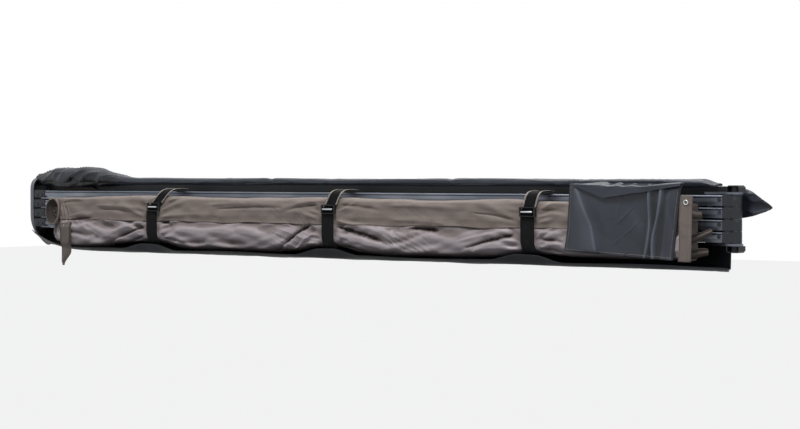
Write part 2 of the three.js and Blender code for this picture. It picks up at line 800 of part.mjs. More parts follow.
strapPlaces.forEach((place, i) => {
  const band = alongX(strapShape, place - strapWidth / 2, strapWidth);
  piece(`strap_${i + 1}`, leaning(band, strapLeans[i]), blackWebbing);
  piece(`strap_buckle_${i + 1}`, buckle(place + leanAt(strapLeans[i], buckleRise)), blackPlastic);
});

// Hub panel: coated cloth over the inner end of the bundle, with three soft folds, longer towards the hub
const sheetFront = bundleFront - fitGap - panelThickness / 2;

function panelSection(x) {
  const share = (x - panelStart) / panelLength;
  const fold = Math.sin(4 * Math.PI * share) ** 2 * foldDepth;
  return band([
    [sheetFront, -panelBottom - panelDrop * share], [sheetFront - fold / 2, -panelBottom / 3],
    [sheetFront - fold, panelTop / 3], [sheetFront, panelTop],
  ], panelThickness, 7);
}

const panelSlant = (y, z) => z * panelLeanShare;
piece('hub_panel', lofted(evenly(panelStart, panelStart + panelLength, 16), panelSection, panelSlant), greyCoated);

// Hem: the canopy's sewn inner edge beside the panel, with an eyelet near its top
const hemSlant = (y, z) => z * hemLeanShare;

function hem() {
  const start = panelStart + panelLength + hemStand;
  const strip = lofted(evenly(start, start + hemLength, 4), () => band([
    [sheetFront, -hemBottom], [sheetFront - foldDepth / 2, 0], [sheetFront, hemTop],
  ], panelThickness, 8), hemSlant);
  const eyeletZ = hemTop - hemLength / 2;
  const hole = rodAcross(buckleBar, start + hemLength / 2 + hemSlant(0, eyeletZ), eyeletZ, 0, -2 * sheetFront,
    smallSides);
  return cut(solid(strip), hole);
}

piece('canopy_hem', hem(), taupeCloth);

// Corner flap: the canopy's outer corner hanging out under the bundle
function cornerFlap() {
  const top = -rollBottom + flapWidth;
  const shape = outline([
    [flapPlace - flapWidth / 2, top, armCorner], [flapPlace - flapWidth / 3, -flapTip, armCorner],
    [flapPlace + flapWidth / 2, -rollBottom, armCorner], [flapPlace + flapWidth / 2, top, armCorner],
  ]);
  const reach = [-flapWidth / 2, 0, flapWidth / 2].map((side) => bundleFrontAt(flapPlace + side, rollPhaseShare));
  return towardsFront(shape, Math.min(...reach) - fitGap, panelThickness);
}

piece('canopy_corner_flap', cornerFlap(), taupeCloth);

// Cover: rolled top flap with the bunched end, tray under the bundle, front end panel and rear flap
const bulgeEnd = tipX + bulgeLength;

function bulge(x) {
  const share = (x - tipX - bulgeFull) / (bulgeLength - bulgeFull);
  return 0.5 + 0.5 * Math.cos(Math.PI * Math.min(1, Math.max(0, share)));
}

const endFace = endPanelX - coverSkin + endRim / 2;
const flapRollFinish = railEnd - bracketLength / 2;

function topFlapSection(x) {
  const swell = bulge(x);
  const low = railTop + fitGap;
  const height = flapRollHeight + (bulgeHeight - flapRollHeight) * swell * 0.8;
  const wave = Math.sin(2 * Math.PI * x / foldWave) * foldDepth / 4;
  const depth = flapRollDepth + (bulgeDepth - flapRollDepth) * swell;
  return softSection(0, -depth + wave, low, low + height + wave / 2, 12, 0.8);
}

const flapStations = [
  ...evenly(endFace + fitGap, bulgeEnd, 12), ...evenly(bulgeEnd, flapRollFinish, 20).slice(1),
];
piece('cover_top_flap', lofted(flapStations, topFlapSection), greyCoated);

// How far a place along x lies towards the cover's outer end, where the tray narrows to the end panel
function trayEndShare(x) {
  return Math.min(1, Math.max(0, 1 - (x - endPanelX) / trayTaper));
}

function traySection(x) {
  const share = trayEndShare(x);
  const front = -trayDepth + (trayDepth - endPanelDepth) * share;
  const rise = trayEndRise * share ** 3;
  const lip = rise - trayLip - rollCinch * (1 - held(x)) / 2 - fitGap;
  return band([
    [-railWall, railBottom - fitGap], [-railWall, -trayBottom * 0.72], [-railDepth / 2, -trayBottom + coverSkin],
    [front / 2, -trayBottom + rise / 2], [front + railDepth / 2, -trayBottom + coverSkin + rise],
    [front + coverSkin, lip],
  ], coverSkin, 11);
}

const trayFinish = pinX + trayOverhang;

// At the hub the tray is cut off at a slant: its lip reaches further than its back
function traySlant(y, z, x) {
  const lap = Math.max(0, 1 - (trayFinish - x) / traySlantReach);
  return -trayEndSlant * lap * (1 + y / trayDepth);
}

piece('cover_tray', lofted(evenly(endFace + fitGap, trayFinish, 28), traySection, traySlant), blackPlastic);

function endPanel() {
  const border = [
    [0, -endPanelBottom, endRim], [0, endPanelTop, 4 * endRim], [-endPanelDepth, endPanelTop, 6 * endRim],
    [-endPanelDepth, -endPanelBottom / 2, 7 * endRim],
  ];
  const panel = alongX(outline(border), endPanelX - coverSkin, coverSkin, 2 * cornerSteps);
  const rim = outline(border);
  const inner = outline([
    [-endRim, -endPanelBottom + 3 * endRim, endRim], [-endRim, endPanelTop - endRim, 3 * endRim],
    [-endPanelDepth + endRim, endPanelTop - endRim, 5 * endRim],
    [-endPanelDepth + endRim, -endPanelBottom / 2 + endRim / 2, 6 * endRim],
  ]);
  const opening = alongX(inner, endPanelX - 3 * endRim, 6 * endRim, 2 * cornerSteps);
  const piping = alongX(rim, endPanelX - coverSkin - endRim / 2, endRim, 2 * cornerSteps);
  return cut(solid(piping), opening).add(solid(panel));
}

piece('cover_front_panel', endPanel(), greyCoated);

function rearFlapSection(x) {
  const share = (x - railEnd) / rearFlapLength;
  const swell = Math.sqrt(Math.max(0, 1 - share ** 2));
  const high = rearFlapBottom + (rearFlapTop - rearFlapBottom) * (0.35 + 0.65 * swell);
  const back = -railWall;
  return softSection(back, back - rearFlapDepth * (0.2 + 0.5 * swell), rearFlapBottom, high, 12, 0.7);
}

piece('cover_rear_flap', lofted(evenly(railEnd + fitGap, railEnd + rearFlapLength, 8), rearFlapSection), greyCoated);

export default awning;
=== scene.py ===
import math

import bmesh
import bpy
import numpy as np
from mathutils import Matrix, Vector


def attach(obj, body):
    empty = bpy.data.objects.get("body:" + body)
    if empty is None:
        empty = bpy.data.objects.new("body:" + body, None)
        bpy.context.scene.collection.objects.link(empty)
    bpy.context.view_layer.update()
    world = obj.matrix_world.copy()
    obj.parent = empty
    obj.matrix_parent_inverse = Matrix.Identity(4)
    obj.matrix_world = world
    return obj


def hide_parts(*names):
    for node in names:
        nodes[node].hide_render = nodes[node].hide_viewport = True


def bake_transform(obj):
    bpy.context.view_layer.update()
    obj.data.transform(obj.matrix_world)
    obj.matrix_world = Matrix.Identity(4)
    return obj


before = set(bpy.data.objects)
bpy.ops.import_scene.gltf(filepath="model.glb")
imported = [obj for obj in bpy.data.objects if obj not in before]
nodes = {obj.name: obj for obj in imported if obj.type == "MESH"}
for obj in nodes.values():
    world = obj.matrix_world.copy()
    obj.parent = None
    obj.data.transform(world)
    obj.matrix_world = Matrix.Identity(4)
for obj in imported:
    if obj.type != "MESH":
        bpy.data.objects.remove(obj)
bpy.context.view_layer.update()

# Camera and stage: the photograph looks along the rail from the hub end, level with the cover's rolled
# top flap. The floor is plain and pale, far enough down for the legs to stand on it.
camera = bpy.data.objects.new("camera", bpy.data.cameras.new("camera"))
bpy.context.collection.objects.link(camera)
camera.location = (3.36368, -4.29975, 0.10741)
camera.rotation_mode = "QUATERNION"
camera.rotation_quaternion = Vector((-0.59696, 0.80201, -0.0205)).to_track_quat("-Z", "Y")
camera.data.sensor_width = 36
camera.data.lens = 88.6
bpy.context.scene.camera = camera
bpy.context.scene.view_settings.view_transform = "Standard"


def lamp(name, place, target, size, power, tint=(1, 1, 1)):
    """A square soft lamp that faces a point."""
    data = bpy.data.lights.new(name, "AREA")
    data.shape, data.size, data.energy, data.color = "SQUARE", size, power, tint
    made = bpy.data.objects.new(name, data)
    made.location = place
    made.rotation_mode = "QUATERNION"
    made.rotation_quaternion = (Vector(target) - Vector(place)).to_track_quat("-Z", "Y")
    bpy.context.collection.objects.link(made)


lamp("key", (0.6, -2.3, 4.3), (0, 0, 0), 1.3, 205)
lamp("overhead", (-0.6, 1.1, 3.2), (0, 0, 0), 2.2, 58, (0.93, 0.97, 1))
lamp("end_fill", (4.6, -1.6, 1.4), (0.6, 0, 0), 1.2, 18)


def direct_rays(tree, *kinds):
    """1 for rays of these kinds, 0 for all others."""
    rays = tree.nodes.new("ShaderNodeLightPath")
    total = rays.outputs[kinds[0]]
    for kind in kinds[1:]:
        either = tree.nodes.new("ShaderNodeMath")
        either.operation = "MAXIMUM"
        tree.links.new(total, either.inputs[0])
        tree.links.new(rays.outputs[kind], either.inputs[1])
        total = either.outputs[0]
    return total


world = bpy.data.worlds.new("studio")
bpy.context.scene.world = world
world.use_nodes = True
sky = world.node_tree
seen = direct_rays(sky, "Is Camera Ray", "Is Glossy Ray", "Is Transmission Ray")
shade = sky.nodes.new("ShaderNodeMix")
shade.data_type = "RGBA"
shade.inputs[6].default_value = (0.19, 0.20, 0.22, 1)
shade.inputs[7].default_value = (1, 1, 1, 1)
sky.links.new(seen, shade.inputs[0])
sky.links.new(shade.outputs[2], sky.nodes["Background"].inputs["Color"])


class Wire:
    """A shader value that is added and multiplied as a number is."""

    def __init__(self, finish, socket):
        self.finish, self.socket = finish, socket

    def maths(self, operation, other):
        return self.finish.node("ShaderNodeMath", {"operation": operation}, {0: self, 1: other})

    def __add__(self, other):
        return self.maths("ADD", other)

    __radd__ = __add__

    def __mul__(self, other):
        return self.maths("MULTIPLY", other)

    __rmul__ = __mul__


class Finish:
    """A procedural material: one Principled shader and what feeds it."""

    def __init__(self, name, **fixed):
        self.material = bpy.data.materials.new(name)
        self.material.use_nodes = True
        self.tree = self.material.node_tree
        self.shader = self.tree.nodes["Principled BSDF"]
        for socket, value in fixed.items():
            self.shader.inputs[socket.replace("_", " ")].default_value = value

    def node(self, kind, settings=None, sockets=None, output=0):
        """Adds a node: its settings first, then values or links of its sockets."""
        made = self.tree.nodes.new(kind)
        for key, value in (settings or {}).items():
            setattr(made, key, value)
        for key, value in (sockets or {}).items():
            if isinstance(value, Wire):
                self.tree.links.new(value.socket, made.inputs[key])
            else:
                made.inputs[key].default_value = value
        return Wire(self, made.outputs[output])

    def place(self, stretch=(1, 1, 1), by="Object"):
        """Where a point lies on the piece, stretched before a pattern reads it."""
        coordinates = self.tree.nodes.new("ShaderNodeTexCoord")
        return self.node("ShaderNodeMapping", None, {
            "Vector": Wire(self, coordinates.outputs[by]), "Scale": stretch})

    def speckle(self, scale, stretch=(1, 1, 1), detail=3.0):
        """Noise from 0 to 1."""
        return self.node("ShaderNodeTexNoise", None, {
            "Vector": self.place(stretch), "Scale": scale, "Detail": detail})

    def between(self, share, first, second):
        """A colour part of the way from the first to the second."""
        return self.node("ShaderNodeMix", {"data_type": "RGBA"}, {
            0: share, 6: (*first, 1) if isinstance(first, tuple) else first,
            7: (*second, 1) if isinstance(second, tuple) else second}, output=2)

    def over(self, share, low, high):
        """Stretches a value from between low and high to the whole range, 0 to 1."""
        return self.node("ShaderNodeMapRange", {"interpolation_type": "SMOOTHSTEP"}, {
            0: share, 1: low, 2: high})

    def set(self, **links):
        for socket, wire in links.items():
            self.tree.links.new(wire.socket, self.shader.inputs[socket.replace("_", " ")])

    def bump(self, height, strength, distance):
        """Raises the surface by a height pattern; distance is in metres."""
        self.set(Normal=self.node("ShaderNodeBump", None, {
            "Height": height, "Strength": strength, "Distance": distance}))

    def on(self, *names):
        """Gives this finish to CAD nodes."""
        for name in names:
            nodes[name].data.materials.clear()
            nodes[name].data.materials.append(self.material)


floor_finish = Finish("pale_floor", Roughness=0.95)
floor_finish.shader.inputs["Base Color"].default_value = (0.55, 0.55, 0.55, 1)
lit = floor_finish.tree
floor_glow = lit.nodes.new("ShaderNodeEmission")
floor_glow.inputs["Color"].default_value = (1, 1, 1, 1)
floor_mix = lit.nodes.new("ShaderNodeMixShader")
floor_share = lit.nodes.new("ShaderNodeMath")
floor_share.operation = "MULTIPLY"
floor_share.inputs[1].default_value = 0.86
lit.links.new(direct_rays(lit, "Is Camera Ray", "Is Glossy Ray"), floor_share.inputs[0])
lit.links.new(floor_share.outputs[0], floor_mix.inputs[0])
lit.links.new(floor_finish.shader.outputs[0], floor_mix.inputs[1])
lit.links.new(floor_glow.outputs[0], floor_mix.inputs[2])
lit.links.new(floor_mix.outputs[0], lit.nodes["Material Output"].inputs["Surface"])
bpy.ops.mesh.primitive_plane_add(size=90, location=(0, 0, -2.26))
floor = bpy.context.object
floor.name = "floor"
floor.data.materials.append(floor_finish.material)

# Back rail: a hollow aluminium extrusion, black anodised, that hangs by the two bolt channels in its
# back and carries all the rest. Its surface keeps the fine lines of the die along its length.
rail_black = Finish("black_anodised_extrusion", Metallic=0.55, Roughness=0.42)
die_lines = rail_black.speckle(420, (0.02, 1, 1), 2)
scuffs = rail_black.over(rail_black.speckle(9, (0.4, 2, 2), 5), 0.55, 0.78)
rail_black.set(Base_Color=rail_black.between(scuffs, (0.014, 0.015, 0.018), (0.045, 0.047, 0.052)),
               Roughness=0.34 + 0.16 * die_lines + 0.08 * scuffs)
rail_black.bump(die_lines, 0.25, 0.0003)
rail_black.on("back_rail")

# End cap and ear caps: black nylon mouldings with the fine grain of a spark-eroded mould. One closes
# the rail's front end, the other two cover the bolt's ends on the hub's ears.
moulded = Finish("black_nylon", Roughness=0.5, Specular_IOR_Level=0.3)
grain = moulded.speckle(900, detail=2)
wear = moulded.over(moulded.speckle(30, detail=4), 0.5, 0.8)
moulded.set(Base_Color=moulded.between(wear, (0.012, 0.0125, 0.014), (0.03, 0.031, 0.034)),
            Roughness=0.42 + 0.2 * grain)
moulded.bump(grain, 0.3, 0.0004)
moulded.on("rail_front_cap", "hub_top_cap", "hub_bottom_cap")

# Hub bracket and arms' channels: grey anodised aluminium. The bracket is folded from plate and the
# channels are drawn, so their lines run along their length; handling leaves brighter rubbed places.
grey_metal = Finish("grey_anodised_aluminium", Metallic=0.85, Roughness=0.35)
drawn = grey_metal.speckle(500, (0.015, 1, 1), 2)
rubbed = grey_metal.over(grey_metal.speckle(14, (0.3, 1, 1), 4), 0.5, 0.75)
grey_metal.set(Base_Color=grey_metal.between(rubbed, (0.14, 0.157, 0.19), (0.27, 0.29, 0.33)),
               Roughness=0.3 + 0.14 * drawn + 0.06 * rubbed)
grey_metal.bump(drawn, 0.2, 0.0002)
grey_metal.on("hub_bracket", *[f"arm_{n}_channel" for n in range(1, 5)])

# Hub bolt, nut, washers and the bracket's two bolts: zinc-plated steel with a faint mottle. The hub
# bolt runs through the bracket's ears and all four knuckles, with a washer under its head and its nut.
steel = Finish("zinc_plated_steel", Metallic=1.0, Roughness=0.3)
mottle = steel.speckle(60, detail=5)
steel.set(Base_Color=steel.between(mottle, (0.50, 0.52, 0.54), (0.70, 0.71, 0.72)),
          Roughness=0.2 + 0.22 * mottle)
steel.on("hub_pin", "hub_nut", "hub_top_washer", "hub_bottom_washer",
         "hub_bracket_bolt_1", "hub_bracket_bolt_2")

# Knuckles: cast aluminium under black powder coat, which has a fine orange-peel surface. Each turns
# on the hub bolt, with its tongue riveted in the arm's channel. The leg saddles are coated the same.
cast = Finish("black_powder_coat", Roughness=0.45, Specular_IOR_Level=0.35)
peel = cast.speckle(600, detail=1)
rub = cast.over(cast.speckle(45, detail=4), 0.55, 0.8)
cast.set(Base_Color=cast.between(rub, (0.022, 0.024, 0.029), (0.075, 0.08, 0.09)),
         Roughness=0.36 + 0.16 * peel)
cast.bump(peel, 0.5, 0.0005)
cast.on(*[f"arm_{n}_{part}" for n in range(1, 5) for part in ("knuckle", "saddle")])

# Legs: two drawn tubes that slide, a nylon head on the pivot pin, a twist lock and a rubber foot.
# Folded, each leg lies in the bay of its own arm's channel.
bright = Finish("clear_anodised_tube", Metallic=0.95, Roughness=0.28)
tube_lines = bright.speckle(700, (0.02, 1, 1), 2)
bright.set(Base_Color=bright.between(tube_lines, (0.42, 0.44, 0.46), (0.58, 0.59, 0.61)),
           Roughness=0.2 + 0.2 * tube_lines)
rubber = Finish("black_rubber", Roughness=0.75)
dust = rubber.speckle(120, detail=4)
rubber.set(Base_Color=rubber.between(dust, (0.012, 0.012, 0.012), (0.045, 0.043, 0.04)),
           Roughness=0.66 + 0.2 * dust)
rubber.bump(dust, 0.4, 0.0006)
for n in range(1, 5):
    moulded.on(f"leg_{n}_head", f"leg_{n}_lock")
    grey_metal.on(f"leg_{n}_outer_tube")
    bright.on(f"leg_{n}_inner_tube")
    rubber.on(f"leg_{n}_foot")

# Canopy behind the arms: the section between the rail and the first arm. It is coated canvas, one
# sheet, that hangs in loose gathers and shows over the arm near the outer end.
canvas = Finish("taupe_canvas", Roughness=0.78, Sheen_Weight=0.1, Specular_IOR_Level=0.3)
weave = canvas.node("ShaderNodeTexWave", {"wave_type": "BANDS", "bands_direction": "X"}, {
    "Vector": canvas.place(by="UV"), "Scale": 420, "Distortion": 0.6})
cross = canvas.node("ShaderNodeTexWave", {"wave_type": "BANDS", "bands_direction": "Y"}, {
    "Vector": canvas.place(by="UV"), "Scale": 420, "Distortion": 0.6})
faded = canvas.speckle(7, (0.5, 1, 1), 4)
grime = canvas.over(canvas.speckle(26, (1, 1, 2), 5), 0.52, 0.78)
tone = canvas.between(faded, (0.168, 0.134, 0.117), (0.250, 0.205, 0.182))
# Painted shade and highlight: a value stored on each point darkens the cloth in its folds, creases and
# shaded places and lightens it on the crests of its folds.
canvas_shading = canvas.node("ShaderNodeAttribute", {"attribute_name": "painted_shading"}, output=2)
grime_and_highlight = canvas.between(canvas_shading * -0.55, canvas.between(grime * 0.45, tone, (0.13, 0.105, 0.093)),
                      (0.37, 0.31, 0.28))
canvas.set(Base_Color=canvas.between(canvas_shading * 0.95, grime_and_highlight, (0.034, 0.027, 0.024)),
           Roughness=0.68 + 0.14 * faded)
canvas.bump(weave * cross + 0.5 * canvas.speckle(160, detail=3), 0.35, 0.0008)

straps = ((-651.4, 64), (7.1, 34), (653.7, 18))


def smooth(low, high, value):
    """0 below low, 1 above high, smooth between."""
    share = np.clip((value - low) / (high - low), 0, 1)
    return share * share * (3 - 2 * share)


def strap_x(place, lean, z):
    """The middle of a strap at a height: it leans in its upper half and steps aside under the roll."""
    return place + lean * np.clip(z, 0, None) / 66 + 9 * smooth(-62, -100, z)


def waves(u, v, seed, long, short, count=7, tilt=0.0):
    """Soft folds of about unit height whose crests run along u; tilt leans them."""
    pick = np.random.default_rng(seed)
    total = 0
    for _ in range(count):
        along = 2 * math.pi / long * pick.uniform(-1.3, 1.3)
        across = 2 * math.pi / short * pick.uniform(0.6, 1.5)
        total = total + np.sin(along * u + across * (v + tilt * u) + pick.uniform(0, 2 * math.pi))
    return total / math.sqrt(count / 2) / 1.6


def ridged(value, width=0.35):
    """Turns soft waves into cloth's narrow crests and wide hollows."""
    return np.exp(-np.abs(value) / width)


def skin(name, grid, finish, closed=False, thick=0.0, ends=True, painted_shading=None):
    """A smooth mesh from a grid of points in millimetres, with its own map in metres. The last argument, a
    value for each point, paints shade that darkens the cloth there, or paints a highlight that lightens it
    where it is below 0."""
    rows, columns = grid.shape[:2]
    points = grid.reshape(-1, 3) / 1000
    run = columns if closed else columns - 1
    faces = []
    for i in range(rows - 1):
        for j in range(run):
            a, b = i * columns + j, i * columns + (j + 1) % columns
            faces.append((a, b, b + columns, a + columns))
    down, along = (np.cumsum(np.linalg.norm(np.diff(grid, axis=k), axis=2), k) for k in (0, 1))
    u = np.concatenate([np.zeros((1, columns)), down]) / 1000
    v = np.concatenate([np.zeros((rows, 1)), along], 1) / 1000
    points, u, v = list(map(tuple, points)), u.ravel(), v.ravel()
    if closed and ends:
        for start in (0, (rows - 1) * columns):
            middle = len(points)
            points.append(tuple(np.mean(points[start:start + columns], axis=0)))
            faces += [(start + j, start + (j + 1) % columns, middle) for j in range(columns)]
    u, v = np.append(u, [0, 0]), np.append(v, [0, 0])
    mesh = bpy.data.meshes.new(name)
    mesh.from_pydata(points, [], faces)
    shape = bmesh.new()
    shape.from_mesh(mesh)
    bmesh.ops.recalc_face_normals(shape, faces=shape.faces)
    shape.to_mesh(mesh)
    shape.free()
    mesh.shade_smooth()
    corner = np.empty(len(mesh.loops), int)
    mesh.loops.foreach_get("vertex_index", corner)
    layer = mesh.uv_layers.new(name="cloth")
    layer.data.foreach_set("uv", np.stack([u[corner], v[corner]], 1).ravel())
    if painted_shading is not None:
        dark = mesh.attributes.new("painted_shading", "FLOAT", "POINT")
        dark.data.foreach_set("value", np.append(painted_shading.ravel(), [0.5] * (len(points) - rows * columns)))
    mesh.materials.append(finish.material)
    made = bpy.data.objects.new(name, mesh)
    bpy.context.collection.objects.link(made)
    if thick:
        solidify = made.modifiers.new("thickness", "SOLIDIFY")
        solidify.thickness, solidify.offset = thick / 1000, 0
        settle(made)
    return made


def settle(made):
    """Applies what is live on a piece, so that its mesh is final."""
    bpy.context.view_layer.update()
    graph = bpy.context.evaluated_depsgraph_get()
    mesh = bpy.data.meshes.new_from_object(made.evaluated_get(graph), preserve_all_data_layers=True,
                                           depsgraph=graph)
    made.modifiers.clear()
    made.data = mesh
    return made


def near_strap(x, z, reach):
    """1 under a slanting strap, falling to 0 at reach millimetres beside it."""
    return np.max([1 - smooth(21, 21 + reach, np.abs(x - strap_x(*strap, z))) for strap in straps], axis=0)


x = np.linspace(-1146, 1096, 300)[:, None]
drop = np.linspace(0, 1, 30)[None, :]
top = 55.5 + 16 * smooth(-940, -1010, x) * smooth(-1140, -1060, x)
z = top + (-54 - top) * drop
y = -29.6 - 1.9 * np.sin(2 * np.pi * x / 71 + 1.3 * np.sin(x / 160)) + 0 * z
y = y - 3.2 * smooth(44, 70, z) * smooth(-930, -1010, x) * (1 + np.sin(x / 9))
inner = skin("canopy_inner_sheet", np.stack([x + 0 * z, y, z], 2), canvas, thick=1.2)
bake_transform(inner)
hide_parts("canopy_section_1")

# Canopy in front of the arms: the same canvas folded flat in two layers and, under them, rolled. Each part
# lies between the two arms that it is sewn to; the straps pull it in and crease it.
rolled = Finish("taupe_canvas_coated_side", Roughness=0.5, Coat_Weight=0.16, Coat_Roughness=0.33,
                Specular_IOR_Level=0.4)
roll_weave = rolled.node("ShaderNodeTexWave", {"wave_type": "BANDS", "bands_direction": "DIAGONAL"}, {
    "Vector": rolled.place(by="UV"), "Scale": 360, "Distortion": 0.4})
roll_fade = rolled.speckle(6, (0.5, 1, 1), 4)
roll_grime = rolled.over(rolled.speckle(22, (0.6, 1, 2), 5), 0.54, 0.8)
roll_tone = rolled.between(roll_fade, (0.170, 0.133, 0.126), (0.245, 0.200, 0.197))
# Painted shade and highlight: the value stored on each point darkens the roll in its folds and creases and
# lightens the crests of its folds with a pale violet highlight.
roll_shading = rolled.node("ShaderNodeAttribute", {"attribute_name": "painted_shading"}, output=2)
roll_grimy = rolled.between(roll_grime * 0.5, roll_tone, (0.13, 0.100, 0.094))
roll_grime_and_highlight = rolled.between(roll_shading * -0.5, roll_grimy, (0.52, 0.47, 0.50))
rolled.set(Base_Color=rolled.between(roll_shading * 0.95, roll_grime_and_highlight, (0.032, 0.024, 0.023)),
           Roughness=0.38 + 0.14 * roll_fade)
rolled.bump(roll_weave + rolled.speckle(120, detail=3), 0.22, 0.0007)

# Each laid fold: from (x, z) to (x, z), how wide, and how far it stands out or, below 0, sinks in.
laid_folds = [
    (-680, -46, -840, -102, 5, -7), (-690, -32, -860, -84, 8, 4.5), (-676, -72, -780, -110, 5, -5),
    (-980, -31, -896, -25, 4, -6), (-985, -18, -880, -12, 7, 3), (-870, 14, -700, 6, 6, 3),
    (-860, 2, -716, -6, 4, -4), (-626, -33, -575, -37, 4, -6), (-600, -14, -350, -9, 9, 3.5),
    (-560, -56, -250, -54, 12, 4.5), (-600, -80, -520, -92, 5, -5), (-520, -90, -240, -88, 9, -4),
    (-420, 20, -180, 26, 7, 3), (-380, 8, -150, 14, 4, -4), (-60, -34, -170, -104, 6, -8),
    (-44, -58, -110, -108, 5, 4), (-310, -48, -215, -68, 13, 4), (-66, -84, -22, -84, 6, 4),
    (-30, 22, -150, 4, 5, -4.5), (-26, 34, -130, 18, 6, 3.5), (26, -34, 215, -76, 6, -9),
    (34, -18, 235, -56, 8, 5), (44, -56, 200, -92, 8, 5), (30, -84, 150, -104, 5, -5),
    (292, -37, 378, -41, 6, -8), (240, -14, 420, -20, 8, 3.5), (40, 24, 190, 10, 5, -4.5),
    (230, 24, 470, 18, 7, 3.5), (490, -94, 622, -58, 9, 5), (450, -66, 618, -34, 7, 4),
    (470, -82, 624, -46, 4, -6), (500, 6, 626, -12, 4, -4.5), (676, -57, 775, -64, 5, -6),
    (680, -40, 775, -44, 8, 4), (686, -82, 770, -90, 5, -4), (690, 16, 770, 10, 5, -4),
    (-1020, 20, -930, 24, 5, -4), (-1035, -62, -900, -78, 7, -5), (-1020, -48, -900, -58, 8, 3.5),
]


def laid(x, z):
    """The height of the laid folds, soft at their ends and slightly bent."""
    total = 0 * (x + z)
    for x0, z0, x1, z1, width, depth in laid_folds:
        share = (x - x0) / (x1 - x0)
        line = z0 + (z1 - z0) * share + 3 * np.sin(np.pi * share)
        fade = smooth(-0.12, 0.12, share) * smooth(1.15, 0.7, share)
        spread = width * (0.6 + 0.6 * np.clip(share, 0, 1))
        total = total + 1.35 * depth * fade * np.exp(-((z - line) / spread) ** 2)
    return total


def strap_creases(x, z, seed, low, high, depth):
    """Narrow folds that run out from the straps, deep beside them and fading away."""
    pick = np.random.default_rng(seed)
    total = 0 * (x + z)
    for strap in straps:
        for side in (-1, 1):
            for k in range(8):
                start = low + (high - low) * (k + pick.uniform(0.1, 0.9)) / 8
                slope = pick.uniform(0.05, 0.75) * side * (1 if start > (low + high) / 2 else 0.6)
                bend = pick.uniform(-0.0012, 0.0012)
                reach = pick.uniform(60, 210)
                away = side * (x - strap_x(*strap, z)) - 18
                line = start + slope * side * away + bend * away ** 2
                width = 3.2 + 0.06 * np.clip(away, 0, 400)
                fade = np.exp(-np.clip(away, 0, 900) / reach) * smooth(-14, 10, away)
                gap = (z - line) / width
                fold = np.exp(-gap ** 2) - 0.6 * np.exp(-((gap - 1.9) / 1.2) ** 2)
                total = total + pick.uniform(0.5, 1) * fade * fold
    return depth * total


def rounded(corners, steps=10, pitch=None):
    """A closed line through corners (y, z, radius), its straight parts divided at a pitch."""
    line = []
    for i, (a, b, radius) in enumerate(corners):
        corner = np.array([a, b], float)
        if not radius:
            line.append(corner[None, :])
            continue
        before = np.array(corners[i - 1][:2], float)
        after = np.array(corners[(i + 1) % len(corners)][:2], float)
        into = corner + (before - corner) / np.linalg.norm(before - corner) * radius
        out = corner + (after - corner) / np.linalg.norm(after - corner) * radius
        share = np.linspace(0, 1, steps)[:, None]
        line.append((1 - share) ** 2 * into + 2 * share * (1 - share) * corner + share ** 2 * out)
    line = np.concatenate(line)
    if not pitch:
        return line
    filled = []
    for a, b in zip(line, np.roll(line, -1, 0)):
        count = max(1, round(np.linalg.norm(b - a) / pitch))
        filled.append(a + (b - a) * np.linspace(0, 1, count, endpoint=False)[:, None])
    return np.concatenate(filled)


def hollows(y, axis):
    """Painted shade and highlight for a grid of cloth: up to 1 in the hollows between its folds, where shade
    is painted, below 0 on their crests, where a highlight is painted; y is its depth.
    """
    mean = y
    for step in (2, 5, 9):
        mean = (mean + np.roll(mean, step, axis) + np.roll(mean, -step, axis)) / 3
    return smooth(0.2, 2.5, y - mean) - smooth(1.2, 4.2, mean - y)


canopy_ends = (-1075, 1110)
arms_face, foremost = -70.6, -134.5
half_deep, half_high = 27, 30


def bundle(name, corners, low, high, front, wrinkle, finish, rows=540, shade=1.0):
    """A closed soft body along x; corners give its outline in shares of its depth and height.
    Shade is how strongly the painted shade in its folds and the painted highlight on their crests darken and
    lighten the cloth."""
    x = np.linspace(*canopy_ends, rows)[:, None]
    shape = rounded([(half_deep * a, half_high * b, r) for a, b, r in corners],
                    7, 2.6) / (half_deep, half_high)
    across, rise = shape[None, :, 0], shape[None, :, 1]
    bottom, top, forward = low(x), high(x), front(x)
    z = (top + bottom) / 2 + rise * (top - bottom) / 2
    y = (arms_face + forward) / 2 + across * (arms_face - forward) / 2
    clear = 1 - near_strap(x, z, 34)
    gather = 3.2 * np.sin(x / 2.7 + 0.05 * z + 1.4 * np.sin(z / 15)) * smooth(-962, -1030, x)
    y = y - (wrinkle(x, z) + gather) * smooth(0.1, 0.9, -across) * clear
    y = np.maximum(y, foremost + 6.5 * smooth(740, 770, x))
    # Painted shade and highlight: darker in the hollows between the folds and lighter on their crests, and
    # darker still beside the straps, along the slit between the middle layer and the roll, and towards the
    # underside.
    painted_shading = shade * hollows(y, 1) * smooth(0.5, 0.95, -across)
    strap_side_shade = near_strap(x, z, 16) * (1 - near_strap(x, z, 1))
    seam_shade = 0.75 * np.exp(-((z + 30) / 2.4) ** 2) * smooth(0.5, 0.95, -across)
    painted_shading = np.clip(painted_shading + seam_shade + 0.55 * strap_side_shade + 0.5 * smooth(-88, -106, z), -1, 1)
    made = skin(name, np.stack([x + 0 * z, y, z], 2), finish, closed=True, painted_shading=painted_shading)
    made.data.set_sharp_from_angle(angle=math.radians(55))
    return made


def end_draw(x):
    """1 at the bundle's outer end, where it is drawn together, and 0 further in."""
    return smooth(-995, -1075, x)


def upper_front(x):
    return -119.3 - (5.2 + 1.6 * np.sin(x / 66 + 0.6)) * (1 - near_strap(x, 10, 90)) + 20 * end_draw(x)


